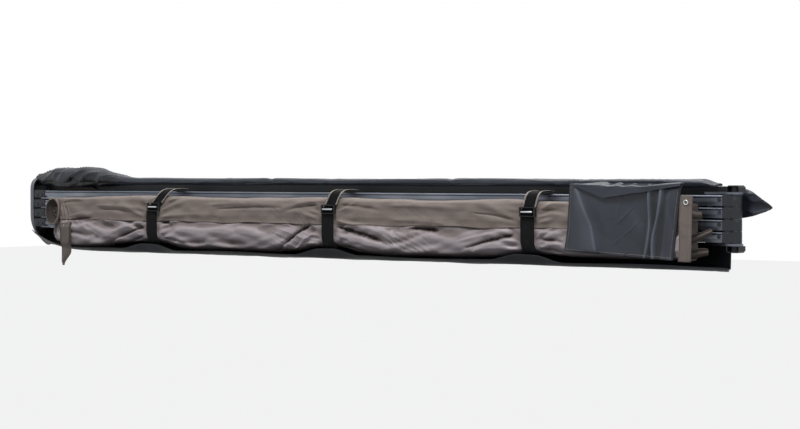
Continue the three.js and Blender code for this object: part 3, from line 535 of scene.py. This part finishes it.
def upper_wrinkle(x, z):
    soft = 0.9 * waves(x, z, 11, 210, 46, tilt=0.35) + 0.7 * waves(x, z, 12, 90, 60, tilt=-0.5)
    sharp = 2.0 * ridged(waves(x, z, 13, 130, 40, tilt=0.8), 0.12) * smooth(
        -0.2, 0.9, waves(x, z, 14, 500, 200))
    flatter = 1 - 0.45 * smooth(-24, -12, z)
    return (soft + flatter * (sharp + laid(x, z)) + strap_creases(x, z, 15, -28, 34, 2.4)
            - 3.5 * smooth(31, 42, z) + 0.5 * smooth(-18, -27, z))


def upper_top(x):
    """The canopy's upper edge as it lies between and under the straps."""
    at = [-1080, -950, -850, -800, -700, -600, -560, -450, -300, -200,
          -100, 50, 120, 200, 300, 400, 480, 600, 700, 1110]
    high = [34, 37, 41, 42, 44, 44, 42, 40.5, 39.5, 41,
            43, 43.5, 42, 40.5, 38, 38.5, 41, 44, 38, 37]
    return np.interp(x, at, high) + 1.1 * np.sin(x / 31) * np.sin(x / 131)


def seam_low(x):
    return -29.8 + 1.6 * np.sin(x / 49) + 1.2 * np.sin(x / 23 + 1) + 4 * end_draw(x)


upper = bundle("canopy_upper_layer", [(1, -1, 0), (1, 1, 5), (-1, 1, 11), (-1, -1, 0)],
               lambda x: 0.1 + 0 * x, upper_top, upper_front, upper_wrinkle, canvas, shade=0.6)
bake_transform(upper)
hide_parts("canopy_section_2")
middle = bundle("canopy_middle_layer", [(1, -1, 5), (1, 1, 0), (-1, 1, 0), (-1, -1, 3)], seam_low,
                lambda x: -0.1 + 0 * x, upper_front, upper_wrinkle, canvas, shade=0.6)
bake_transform(middle)
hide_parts("canopy_section_3")


def roll_front(x):
    return -119.2 - (9.4 + 1.8 * np.sin(x / 83)) * (1 - near_strap(x, -60, 80)) + 24 * end_draw(x)


def roll_low(x):
    """The roll's underside: it hangs nearly to the tray between the straps, which draw it up."""
    at = [-1075, -1000, -930, -860, -800, -740, -651, -600, -550, -480, -200, -110,
          -60, 7, 60, 110, 200, 460, 560, 610, 654, 700, 780, 1110]
    low = [-98, -108, -112, -110, -100, -94, -90, -94, -105, -110, -110, -104,
           -94, -90, -94, -104, -110, -110, -104, -95, -91, -95, -101, -101]
    return np.interp(x, at, low) + 1.2 * np.sin(x / 61 + 1)


def roll_wrinkle(x, z):
    soft = 2.2 * waves(x, z, 21, 330, 44, tilt=0.22) + 1.2 * waves(x, z, 22, 160, 30, tilt=-0.3)
    sharp = 3.8 * ridged(waves(x, z, 23, 240, 34, tilt=0.45), 0.10)
    sharp = sharp * smooth(-0.1, 0.8, waves(x, z, 24, 400, 160))
    return soft + sharp + laid(x, z) + strap_creases(x, z, 25, -92, -34, 4.0) - 5.0 * smooth(-62, -32, z)


roll = bundle("canopy_roll", [(1, -1, 14), (1, 1, 8), (-1, 1, 3), (-1, -1, 26)], roll_low,
              lambda x: seam_low(x) - 0.4, roll_front, roll_wrinkle, rolled, rows=640)
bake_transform(roll)
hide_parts("canopy_section_4")
for part, fill in ((upper, 0.3), (middle, 0.3), (roll, 0.5)):
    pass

# Outer end of the canopy: the folded edge stands open as a deep pleat in front of the arms' tips,
# and at the hub each section's edge runs back to its own arm in a loose curve.
around = np.linspace(0, 2, 64, endpoint=False)[None, :] * np.pi
deep = np.linspace(0, 1, 22)[:, None]
ripple = 1 + 0.035 * np.sin(2 * around + 0.6) + 0.012 * np.sin(3 * around)
size = (1.0 - 0.10 * deep + 0.10 * np.sin(np.pi * np.clip(deep * 3, 0, 1))
        - 0.5 * smooth(0.55, 1, deep)) * ripple
x = -1064 + 22 * size * np.cos(around) + 5 * deep
z = -5 + 39 * size * np.sin(around)
y = -108 - 19 * np.sin(np.pi * np.clip(0.12 + deep * 1.1, 0, 1)) + 5 * np.cos(around) + 0 * deep
# Painted shade: the cloth is darker deeper inside the pleat.
pleat = skin("canopy_outer_pleat", np.stack([x, y, z], 2), canvas, closed=True, ends=False, thick=1.2,
             painted_shading=smooth(0.28, 0.45, deep) + 0 * around)
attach(pleat, "arm_2")
for n, start, finish, half in ((2, (1098, 12), (1125, 8), 15), (3, (1098, -54), (1152, -31), 10),
                               (4, (1098, -84), (1142, -81), 12)):
    run = np.linspace(0, 1, 26)[:, None]
    wide = np.linspace(-1, 1, 18)[None, :]
    size = half * (1 - 0.3 * run ** 3)
    x = start[0] + (finish[0] - start[0]) * run + 3 * np.cos(1.5 * wide) * run
    y = -114 + 32 * run ** 1.6 + 3.5 * np.cos(4.5 * wide + n) * (1 - 0.5 * run)
    z = start[1] + (finish[1] - start[1]) * run + size * wide + 2 * np.sin(4 * run + n)
    edge_grid = np.stack([x, y, z], 2)
    # Painted shade: each edge is darker all over, and darker still where its cloth lies further back.
    edge = skin(f"canopy_edge_{n}", edge_grid, canvas, thick=1.2,
                painted_shading=0.5 * smooth(0.15, 1, np.cos(4.5 * wide + n)) + 0.5 + 0 * run)
    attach(edge, f"arm_{n}")

# Corner flap: the canopy's outer corner, one layer of canvas, that has slipped out of the roll and
# hangs below it near the outer end.
down = np.linspace(0, 1, 44)[:, None]
over = np.linspace(0, 1, 16)[None, :]
z = -40 - 128 * down + 3 * over * (1 - down)
left = -1028 + 8 * smooth(0, 0.2, down) + 6 * smooth(0.9, 1, down)
right = -975 - 4 * smooth(0.3, 0.66, down) - 31 * smooth(0.66, 1, down)
x = left + (right - left) * over
y = -129.5 - 4.5 * smooth(0.02, 0.12, down) + 6 * smooth(0.45, 0.6, down)
y = y + 2.2 * np.sin(5 * over + 3 * down) * down
# Painted shade: the flap is darker all over, and darker still along its two borders in its upper part.
border_shade = np.clip(np.exp(-((over - 0.04) / 0.05) ** 2) + np.exp(-((over - 0.93) / 0.05) ** 2), 0, 1)
flap = skin("canopy_corner_sheet", np.stack([x, y, z + 0 * x], 2), canvas, thick=1.2,
            painted_shading=0.9 * border_shade * smooth(0.6, 0.45, down) + 0.45)
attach(flap, "arm_4")
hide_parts("canopy_corner_flap")

# Straps: three bands of black polypropylene webbing, each over the top arm and under the roll. Their
# upper part has both edges bound in taupe tape, sewn with one row of stitches on each side.
webbing = Finish("black_webbing", Roughness=0.85, Specular_IOR_Level=0.12)
ribs = webbing.node("ShaderNodeTexWave", {"wave_type": "BANDS", "bands_direction": "X"}, {
    "Vector": webbing.place(by="UV"), "Scale": 170, "Distortion": 0.3})
twill = webbing.node("ShaderNodeTexWave", {"wave_type": "BANDS", "bands_direction": "DIAGONAL"}, {
    "Vector": webbing.place(by="UV"), "Scale": 260, "Distortion": 0.5})
lint = webbing.over(webbing.speckle(70, detail=5), 0.55, 0.8)
webbing.set(Base_Color=webbing.between(lint, (0.006, 0.0062, 0.007), (0.022, 0.022, 0.024)),
            Roughness=0.74 + 0.14 * lint)
webbing.bump(ribs + 0.5 * twill, 0.6, 0.0007)
tape = Finish("taupe_binding_tape", Roughness=0.8)
tape_weave = tape.node("ShaderNodeTexWave", {"bands_direction": "DIAGONAL"}, {
    "Vector": tape.place(by="UV"), "Scale": 420})
tape.set(Base_Color=tape.between(tape.speckle(60, detail=3), (0.33, 0.28, 0.24), (0.46, 0.40, 0.35)))
tape.bump(tape_weave, 0.4, 0.0005)

strap_face, strap_half = -121.2, 20


def strap_path(lift):
    """The strap's line in (y, z) from the back of the top arm to under the roll."""
    face = strap_face - lift
    corners = [(-51, 64), (-80, 64.4 + lift), (-110, 63.4 + lift), (face + 1.5, 56), (face, 40), (face, 20),
               (face, 0), (face, -30), (face, -62), (face + 0.8, -80), (face + 3.4, -90.5),
               (face + 11, -97 - lift), (-98, -97.6 - lift)]
    path = np.array(corners, float)
    for _ in range(3):
        cut = np.stack([0.75 * path[:-1] + 0.25 * path[1:], 0.25 * path[:-1] + 0.75 * path[1:]], 1)
        path = np.concatenate([path[:1], cut.reshape(-1, 2), path[-1:]])
    return path


for number, strap in enumerate(straps, 1):
    line = strap_path(0)
    across = np.linspace(-strap_half, strap_half, 9)
    crown = 0.5 * (1 - (across / strap_half) ** 2)
    grid = np.stack([strap_x(*strap, line[:, 1:]) + across[None, :], line[:, :1] - crown[None, :],
                     line[:, 1:] + 0 * across[None, :]], 2)
    band = skin(f"strap_webbing_{number}", grid, webbing, thick=1.9)
    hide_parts(f"strap_{number}")
    edge_line = strap_path(1.5)
    edge_line = edge_line[edge_line[:, 1] > 22]
    for side in (-1, 1):
        width = np.linspace(0, 4.5, 4)
        offset = side * (20.6 - width)
        grid = np.stack([strap_x(*strap, edge_line[:, 1:]) + offset[None, :],
                         edge_line[:, :1] + 0 * offset[None, :], edge_line[:, 1:] + 0 * offset[None, :]], 2)
        binding = skin(f"strap_{number}_binding_{'left' if side < 0 else 'right'}", grid, tape, thick=0.7)
        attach(binding, "arm_4")
    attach(band, "arm_4")

# Buckles: a ladder of black nylon on each strap, with a bright metal bar that the webbing runs over.
# Each sits on the front of its strap, before the canopy's upper layer.
moulded.on("strap_buckle_1", "strap_buckle_2", "strap_buckle_3")
for number, strap in enumerate(straps, 1):
    turn = np.linspace(0, 2 * np.pi, 12, endpoint=False)
    along = np.array([-17, -16.5, -15.5, 0, 15.5, 16.5, 17])
    size = np.array([0.5, 1.6, 2.2, 2.2, 2.2, 1.6, 0.5])
    centre = (strap_x(*strap, 12), -131.0, 12.0)
    grid = np.stack([centre[0] + along[:, None] + 0 * turn[None, :],
                     centre[1] + 0.7 * size[:, None] * np.cos(turn),
                     centre[2] + size[:, None] * np.sin(turn)], 2)
    bar = skin(f"strap_buckle_bar_{number}", grid, bright, closed=True)
    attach(bar, "arm_4")

# Hub panel: dark grey coated cloth over the inner end of the bundle. It is heavier than the canvas,
# so it stands in a few large soft folds, and its top edge flops over in a point.
coated = Finish("grey_coated_cloth", Roughness=0.42, Coat_Weight=0.2, Coat_Roughness=0.28,
                Specular_IOR_Level=0.3)
scrim, scrim_across = (coated.node("ShaderNodeTexWave", {"bands_direction": way}, {
    "Vector": coated.place(by="UV"), "Scale": 300}) for way in "XY")
bloom = coated.speckle(5, (0.6, 1.5, 1.5), 5)
dusty = coated.over(coated.speckle(18, detail=5), 0.5, 0.78)
# Painted shade and highlight: the value stored on each point darkens the cloth in its folds and lightens the
# crests of its folds with a bluish highlight.
shaded = coated.node("ShaderNodeAttribute", {"attribute_name": "painted_shading"}, output=2)
dusty_tone_and_highlight = coated.between(dusty * 0.4, coated.between(bloom, (0.016, 0.020, 0.028), (0.036, 0.043, 0.058)),
                        (0.075, 0.085, 0.105))
dusty_tone_and_highlight = coated.between(shaded * -0.75, dusty_tone_and_highlight, (0.16, 0.18, 0.23))
coated.set(Base_Color=coated.between(shaded * 0.9, dusty_tone_and_highlight, (0.006, 0.007, 0.009)),
           Roughness=0.31 + 0.14 * bloom + 0.1 * dusty)
coated.bump(scrim * scrim_across + 0.7 * coated.speckle(70, detail=3), 0.25, 0.0007)

share = np.linspace(0, 1, 150)[:, None]
rise = np.linspace(0, 1, 90)[None, :]
z = -84 - 16 * share + (168 + 16 * share) * rise
x = 779 + 308 * share + 0.12 * z + 2.5 * np.sin(rise * 5) * (1 - share)
crest = np.interp(z, [-100, -60, -20, 86], [868, 860, 850, 800])
facet = np.clip((x - 774 - 0.12 * z) / (crest - 774 - 0.12 * z), 0, 1)
fold = 8.5 * np.where(x < crest, facet, np.exp(-(x - crest) / 15)) * smooth(0, 0.05, rise)
fold = fold + 6.0 * np.exp(-((share - 0.745 - 0.02 * np.sin(5 * rise)) / 0.017) ** 2)
fold = fold + 6.5 * np.exp(-((share - 0.82 + 0.015 * np.sin(6 * rise)) / 0.02) ** 2)
fold = fold + 4.2 * smooth(0.86, 0.92, share) * smooth(1.0, 0.97, share)
fold = fold + 1.9 * waves(x, z, 31, 160, 120, tilt=0.6) * smooth(0, 0.1, share) * smooth(0, 0.1, 1 - share)
creased = ridged(waves(x, z, 32, 200, 110, tilt=-0.9), 0.1)
fold = fold + 2.8 * creased * smooth(0.42, 0.5, share) * smooth(0.7, 0.62, share)
y = -129.6 - np.clip(fold, 0, 9.5) + 5.5 * smooth(0.92, 1, rise)
panel_grid = np.stack([x, y, z], 2)
# Painted shade and highlight: darker in the hollows of the folds and in the deep valley between the two
# upright folds, lighter on the crests and on the facet left of the ridge.
valley_shade = 0.8 * np.exp(-((share - 0.783 - 0.002 * np.sin(5 * rise)) / 0.014) ** 2)
facet_highlight = 0.3 * np.where(x < crest, smooth(0.25, 0.9, facet), 0)
panel = skin("hub_panel_sheet", panel_grid, coated, thick=1.6,
             painted_shading=np.clip(0.9 * hollows(y, 0) + valley_shade - facet_highlight, -1, 1))
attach(panel, "arm_4")
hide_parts("hub_panel")

share = np.linspace(0, 1, 110)[:, None]
fall = np.linspace(0, 1, 34)[None, :]
x = 790 + 308 * share + 0 * fall
point = np.interp(x, [790, 813, 883, 965, 1037, 1100], [7, 15, 41, 25, 15, 9])
ruck = 2.6 * np.sin(x / 11 + 2.5 * np.sin(x / 37)) * smooth(0.55, 0, fall)
z = 87 + 2.5 * np.sin(7 * share) + 0.8 * ruck - point * fall ** 1.1 - 3 * (1 - fall) ** 2
y = (-114 - 20.5 * smooth(0, 0.3, fall) + ruck
     - 2.6 * np.sin(11 * share + 2 * fall) * fall * (1 - 0.5 * fall) - 3.6)
# Painted shade in the hollows of its rucks and painted highlight on their crests.
turned_edge = skin("hub_panel_turned_edge", np.stack([x, y, z], 2), coated, thick=1.6,
                   painted_shading=hollows(y, 0))
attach(turned_edge, "arm_4")

# Hem: the canopy's sewn inner edge beside the panel, canvas turned over twice. It hangs upright at
# the end of the bundle, with the steel ring of an eyelet near its top.
up = np.linspace(0, 1, 60)[:, None]
wide = np.linspace(0, 1, 14)[None, :]
z = -103 + 160 * up + 0 * wide
x = 1092 + 34 * wide + 0.04 * z + 1.2 * np.sin(6 * up)
y = -129.0 - 2.2 * np.sin(np.pi * wide) ** 2 - 1.6 * np.sin(np.pi * up) + 0.9 * np.sin(9 * up + 2 * wide)
hem_grid = np.stack([x, y, z], 2)
# Painted shade: the hem is darker along its edge beside the panel.
hem = skin("canopy_hem_sheet", hem_grid, canvas, thick=2.0, painted_shading=0.35 * smooth(0.3, 0.0, wide) + 0 * up)
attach(hem, "arm_4")
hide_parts("canopy_hem")
turn = np.linspace(0, 2 * np.pi, 24, endpoint=False)[:, None]
tube = np.linspace(0, 2 * np.pi, 10, endpoint=False)[None, :]
radius = 5.2 + 1.3 * np.cos(tube)
grid = np.stack([1110.6 + radius * np.cos(turn), -133.4 + 1.0 * np.sin(tube) + 0 * turn,
                 40 + radius * np.sin(turn)], 2)
grid = np.concatenate([grid, grid[:1]])
eyelet = skin("canopy_hem_eyelet", grid, steel, closed=True, ends=False)
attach(eyelet, "arm_4")

# Stitching: pale thread in single rows along the straps' bindings, the hub panel's edges and the hem.
# Each stitch is a short raised length of thread, laid at an even pitch along its seam.
thread = Finish("pale_thread", Roughness=0.7)
thread.set(Base_Color=thread.between(thread.speckle(300), (0.30, 0.27, 0.24), (0.42, 0.38, 0.34)))


def stitching(name, rows, pitch, length, radius):
    """Stitches along rows of points in millimetres, laid by a tree of Geometry Nodes."""
    points, edges = [], []
    for row in rows:
        edges += [(len(points) + k, len(points) + k + 1) for k in range(len(row) - 1)]
        points += [tuple(point / 1000) for point in row]
    mesh = bpy.data.meshes.new(name)
    mesh.from_pydata(points, edges, [])
    made = bpy.data.objects.new(name, mesh)
    bpy.context.collection.objects.link(made)
    tree = bpy.data.node_groups.new(name, "GeometryNodeTree")
    tree.interface.new_socket("Seams", in_out="INPUT", socket_type="NodeSocketGeometry")
    inputs = {size: tree.interface.new_socket(size, in_out="INPUT", socket_type="NodeSocketFloat").identifier
              for size in ("Pitch", "Stitch Length", "Thread Radius")}
    tree.interface.new_socket("Stitches", in_out="OUTPUT", socket_type="NodeSocketGeometry")
    given, lines, even, along, turned, stitch, laid_out, real, coloured, result = (
        tree.nodes.new(kind) for kind in (
            "NodeGroupInput", "GeometryNodeMeshToCurve", "GeometryNodeResampleCurve",
            "GeometryNodeInputTangent", "FunctionNodeAlignRotationToVector", "GeometryNodeMeshCylinder",
            "GeometryNodeInstanceOnPoints", "GeometryNodeRealizeInstances", "GeometryNodeSetMaterial",
            "NodeGroupOutput"))
    even.mode, turned.axis = "LENGTH", "Z"
    stitch.inputs["Vertices"].default_value = 6
    coloured.inputs["Material"].default_value = thread.material
    for start, socket, finish, into in (
            (given, "Seams", lines, "Mesh"), (lines, "Curve", even, "Curve"),
            (given, "Pitch", even, "Length"),
            (along, "Tangent", turned, "Vector"), (given, "Stitch Length", stitch, "Depth"),
            (given, "Thread Radius", stitch, "Radius"), (even, "Curve", laid_out, "Points"),
            (stitch, "Mesh", laid_out, "Instance"), (turned, "Rotation", laid_out, "Rotation"),
            (laid_out, "Instances", real, "Geometry"), (real, "Geometry", coloured, "Geometry"),
            (coloured, "Geometry", result, "Stitches")):
        tree.links.new(start.outputs[socket], finish.inputs[into])
    sewn = made.modifiers.new("stitches", "NODES")
    sewn.node_group = tree
    for size, value in (("Pitch", pitch), ("Stitch Length", length), ("Thread Radius", radius)):
        sewn[inputs[size]] = value / 1000
    return settle(made)


seam = strap_path(2.1)
seam = seam[seam[:, 1] > 24]
rows = [np.stack([strap_x(*strap, seam[:, 1]) + side * 18.4, seam[:, 0], seam[:, 1]], 1)
        for strap in straps for side in (-1, 1)]
rows += [panel_grid[3, 2:-8] - (0, 1.1, 0), panel_grid[3:-3, 3] - (0, 1.1, 0),
         panel_grid[-4, 2:-8] - (0, 1.1, 0)]
rows += [hem_grid[2:-2, k] - (0, 1.3, 0) for k in (2, 11)]
stitches = stitching("canopy_stitches", rows, 4.4, 3.0, 0.4)
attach(stitches, "arm_4")

# Cover's top flap: a strip of coated cloth, unzipped, rolled up twice and laid along the rail's top.
# Its outer end isn't rolled tight and stands up in a crumpled heap.
cover_end = -1212
ties = (-270, -62, 356, 760)


def heap(x):
    """1 where the flap stands up in its heap, 0 where it lies rolled."""
    return smooth(-790, -985, x) * (1 - 0.72 * smooth(-1080, -1250, x))


x = np.concatenate([np.linspace(cover_end, -740, 190), np.linspace(-736, 1140, 420)])[:, None]
wind = np.linspace(0, 1, 110)[None, :]
angle = -0.6 * np.pi + wind * 3.7 * np.pi
swell = heap(x)
size = 1 - 0.34 * (1 - wind)
tall = (17 + 32 * swell) / 2 * (1 - 0.72 * smooth(1096, 1140, x))
deep = (37 + 42 * swell) / 2
side = lambda value: np.sign(value) * np.abs(value) ** 0.75
z0 = 78.4 + tall
crumple = 8.5 * swell * (ridged(waves(x, 30 * angle, 41, 120, 75), 0.3) - 0.35)
crumple = crumple + 3 * swell * waves(x, 30 * angle, 42, 60, 60)
long_folds = 1.5 * (1 - swell) * waves(x, 14 * angle, 43, 520, 40)
long_folds = long_folds + 1.3 * (1 - swell) * ridged(waves(x, 14 * angle, 44, 420, 34), 0.15)
tied = np.max([np.exp(-((x - tie) / 9) ** 2) for tie in ties], axis=0)
droop = 4 * smooth(740, 860, x) * np.sin((x - 740) / 38)
puff = (crumple + long_folds) * smooth(0.35, 0.6, wind) * (1 - 0.8 * tied) - 1.6 * tied
z = z0 + side(np.sin(angle)) * (tall * size + 0.8 * puff) - tall * (1 - size) * smooth(0.4, 0.5, wind)
y = -deep + side(np.cos(angle)) * (deep * size + 0.8 * puff) - droop * (np.cos(angle) < 0)
y = np.minimum(y, -0.8)
rest = np.where(y > -27.5, 78.5 + 1.4 * (1 - wind), 75.2 - 6.5 * swell)
z = np.where(z < z0 - 0.35 * tall, z - (3 + 7 * swell) * smooth(-26, -31, y), z)
z = np.maximum(z, rest)
# Painted shade and highlight: the heap is darker all over, darker still in the hollows of its crumples and
# on its lower side, and lighter on the crests of its crumples.
crumple_highlight = 0.45 * smooth(1.8, 4.2, crumple) * swell
heap_shade_and_highlight = np.clip(0.3 * swell + 1.8 * smooth(0.25, -0.7, crumple) * swell
                   + 0.8 * smooth(0, -26, z - z0) * swell - crumple_highlight, -1, 1)
top_flap = skin("cover_top_flap_roll", np.stack([x + 0 * z, y, z], 2), coated, thick=1.2, painted_shading=heap_shade_and_highlight)
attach(top_flap, "rail")
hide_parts("cover_top_flap")

# Cover's tray: black coated cloth from the rail's lower edge, under the bundle and up to a lip in
# front of it. The straps pull the lip up, so that it stands in low peaks.
black_coated = Finish("black_coated_cloth", Roughness=0.5, Coat_Weight=0.04, Coat_Roughness=0.4,
                      Specular_IOR_Level=0.2)
tray_bloom = black_coated.speckle(6, (0.6, 1.5, 1.5), 5)
tray_dust = black_coated.over(black_coated.speckle(24, detail=5), 0.5, 0.8)
black_coated.set(Base_Color=black_coated.between(tray_dust * 0.5, (0.008, 0.009, 0.011),
                                                 (0.027, 0.029, 0.034)),
                 Roughness=0.42 + 0.16 * tray_bloom)
black_coated.bump(black_coated.speckle(140, detail=3) + tray_bloom, 0.25, 0.0008)
tray_end = 1226
x = np.linspace(cover_end, tray_end, 420)[:, None]
part = np.linspace(0, 1, 56)[None, :]
taper = np.clip(1 - (x + 1214) / 330, 0, 1)
closing = taper ** 3
lip_y = -141.5 + 72.5 * taper
lip_z = -112 + 17 * near_strap(x, -95, 95) * smooth(1, 0.6, taper) + 1.5 * np.sin(x / 71) + 46 * closing
stops = np.array([0, 0.14, 0.26, 0.6, 0.9, 1.0])
ys = [-3 + 0 * x, -5 + 0 * x, -16 + 4 * closing, lip_y * 0.5, lip_y + 9, lip_y]
zs = [-59.5 + 0 * x, -89 + 0 * x, -121 + 10 * closing, -123 + 31 * closing, -121 + 48 * closing, lip_z]
place_on = lambda values: np.stack([np.interp(part[0], stops, [v[i, 0] for v in values])
                                    for i in range(len(x))])
y, z = place_on(ys), place_on(zs)
for _ in range(4):
    y[:, 1:-1] = (y[:, :-2] + 2 * y[:, 1:-1] + y[:, 2:]) / 4
    z[:, 1:-1] = (z[:, :-2] + 2 * z[:, 1:-1] + z[:, 2:]) / 4
sag = smooth(0.15, 0.3, part) * smooth(1.0, 0.75, part)
z = z + sag * (1.2 * waves(x, 130 * part, 51, 260, 70)
               + 1.0 * ridged(waves(x, 130 * part, 52, 180, 60, tilt=0.4), 0.2))
y = y - smooth(0.86, 0.96, part) * 1.2 * waves(x, 130 * part, 53, 210, 60)
x = x - 63 * np.clip(1 - (tray_end - x) / 200, 0, 1) * (1 + y / 143)
tray = skin("cover_tray_sheet", np.stack([x, y, z], 2), black_coated, thick=1.6)
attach(tray, "rail")
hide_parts("cover_tray")

# Cover's outer end: one panel of coated cloth, dark inside, with a piped rim where it was sewn to
# the tray and zipped to the top flap.
border = rounded([(0, -115, 6), (0, 96, 24), (-70, 96, 36), (-70, -58.5, 42)])
gaps = np.linalg.norm(np.diff(np.concatenate([border, border[:1]]), axis=0), axis=1)
where = np.concatenate([[0], np.cumsum(gaps)])
even = np.linspace(0, where[-1], 120, endpoint=False)
border = np.stack([np.interp(even, where, np.append(border[:, k], border[0, k])) for k in (0, 1)], 1)
ring = np.linspace(1, 0.02, 26)[:, None]
centre = np.array([-31, 8])
y = centre[0] + (border[:, 0] - centre[0])[None, :] * ring
z = centre[1] + (border[:, 1] - centre[1])[None, :] * ring
x = -1214.5 - 2.5 * (1 - ring ** 2) + 1.6 * waves(y, z, 61, 90, 60) * (1 - ring) * 1.5
end_panel = skin("cover_end_panel_sheet", np.stack([x + 0 * z, y, z], 2), black_coated, closed=True,
                 ends=False, thick=1.4)
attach(end_panel, "rail")
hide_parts("cover_front_panel")
outward = np.roll(border, -1, 0) - np.roll(border, 1, 0)
outward = np.stack([-outward[:, 1], outward[:, 0]], 1) / np.linalg.norm(outward, axis=1)[:, None]
turn = np.linspace(0, 2 * np.pi, 12, endpoint=False)[None, :]
wide, tall = 7.0 * np.cos(turn), 2.6 * np.sin(turn)
grid = np.stack([-1211.5 + wide + 0 * even[:, None], border[:, :1] + outward[:, :1] * tall,
                 border[:, 1:] + outward[:, 1:] * tall], 2)
grid = np.concatenate([grid, grid[:1]])
piping = Finish("grey_piping", Roughness=0.45)
piping.set(Base_Color=piping.between(piping.speckle(40, detail=4), (0.10, 0.11, 0.13), (0.19, 0.20, 0.23)))
rim = skin("cover_end_piping", grid, piping, closed=True, ends=False)
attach(rim, "rail")

# Cover's rear end, folded back behind the hub: a loose crumpled piece of the coated cloth. It starts
# at the rail's inner end and stands out past the hub's bracket.
x = np.linspace(0, 1, 60)[:, None]
up = np.linspace(0, 1, 46)[None, :]
reach = 97 * (1 - 0.32 * np.abs(2 * up - 1) ** 1.6)
high = 75 * (0.35 + 0.65 * np.sqrt(1 - 0.98 * x ** 2))
z = 1 + 13 * x ** 2 + (high - 1 - 6 * x ** 2) * up
y = -14 + 5.0 * waves(80 * x, 70 * up, 71, 150, 90, tilt=0.5) * smooth(0, 0.25, x)
y = y - 7 * (ridged(waves(80 * x, 70 * up, 72, 130, 95, tilt=-0.4), 0.55) - 0.4) * smooth(0, 0.2, x)
y = np.clip(y, -25, -3.4)
rear = skin("cover_rear_flap_sheet", np.stack([1181.5 + reach * x, y, z], 2), coated, thick=1.4)
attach(rear, "rail")
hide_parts("cover_rear_flap")
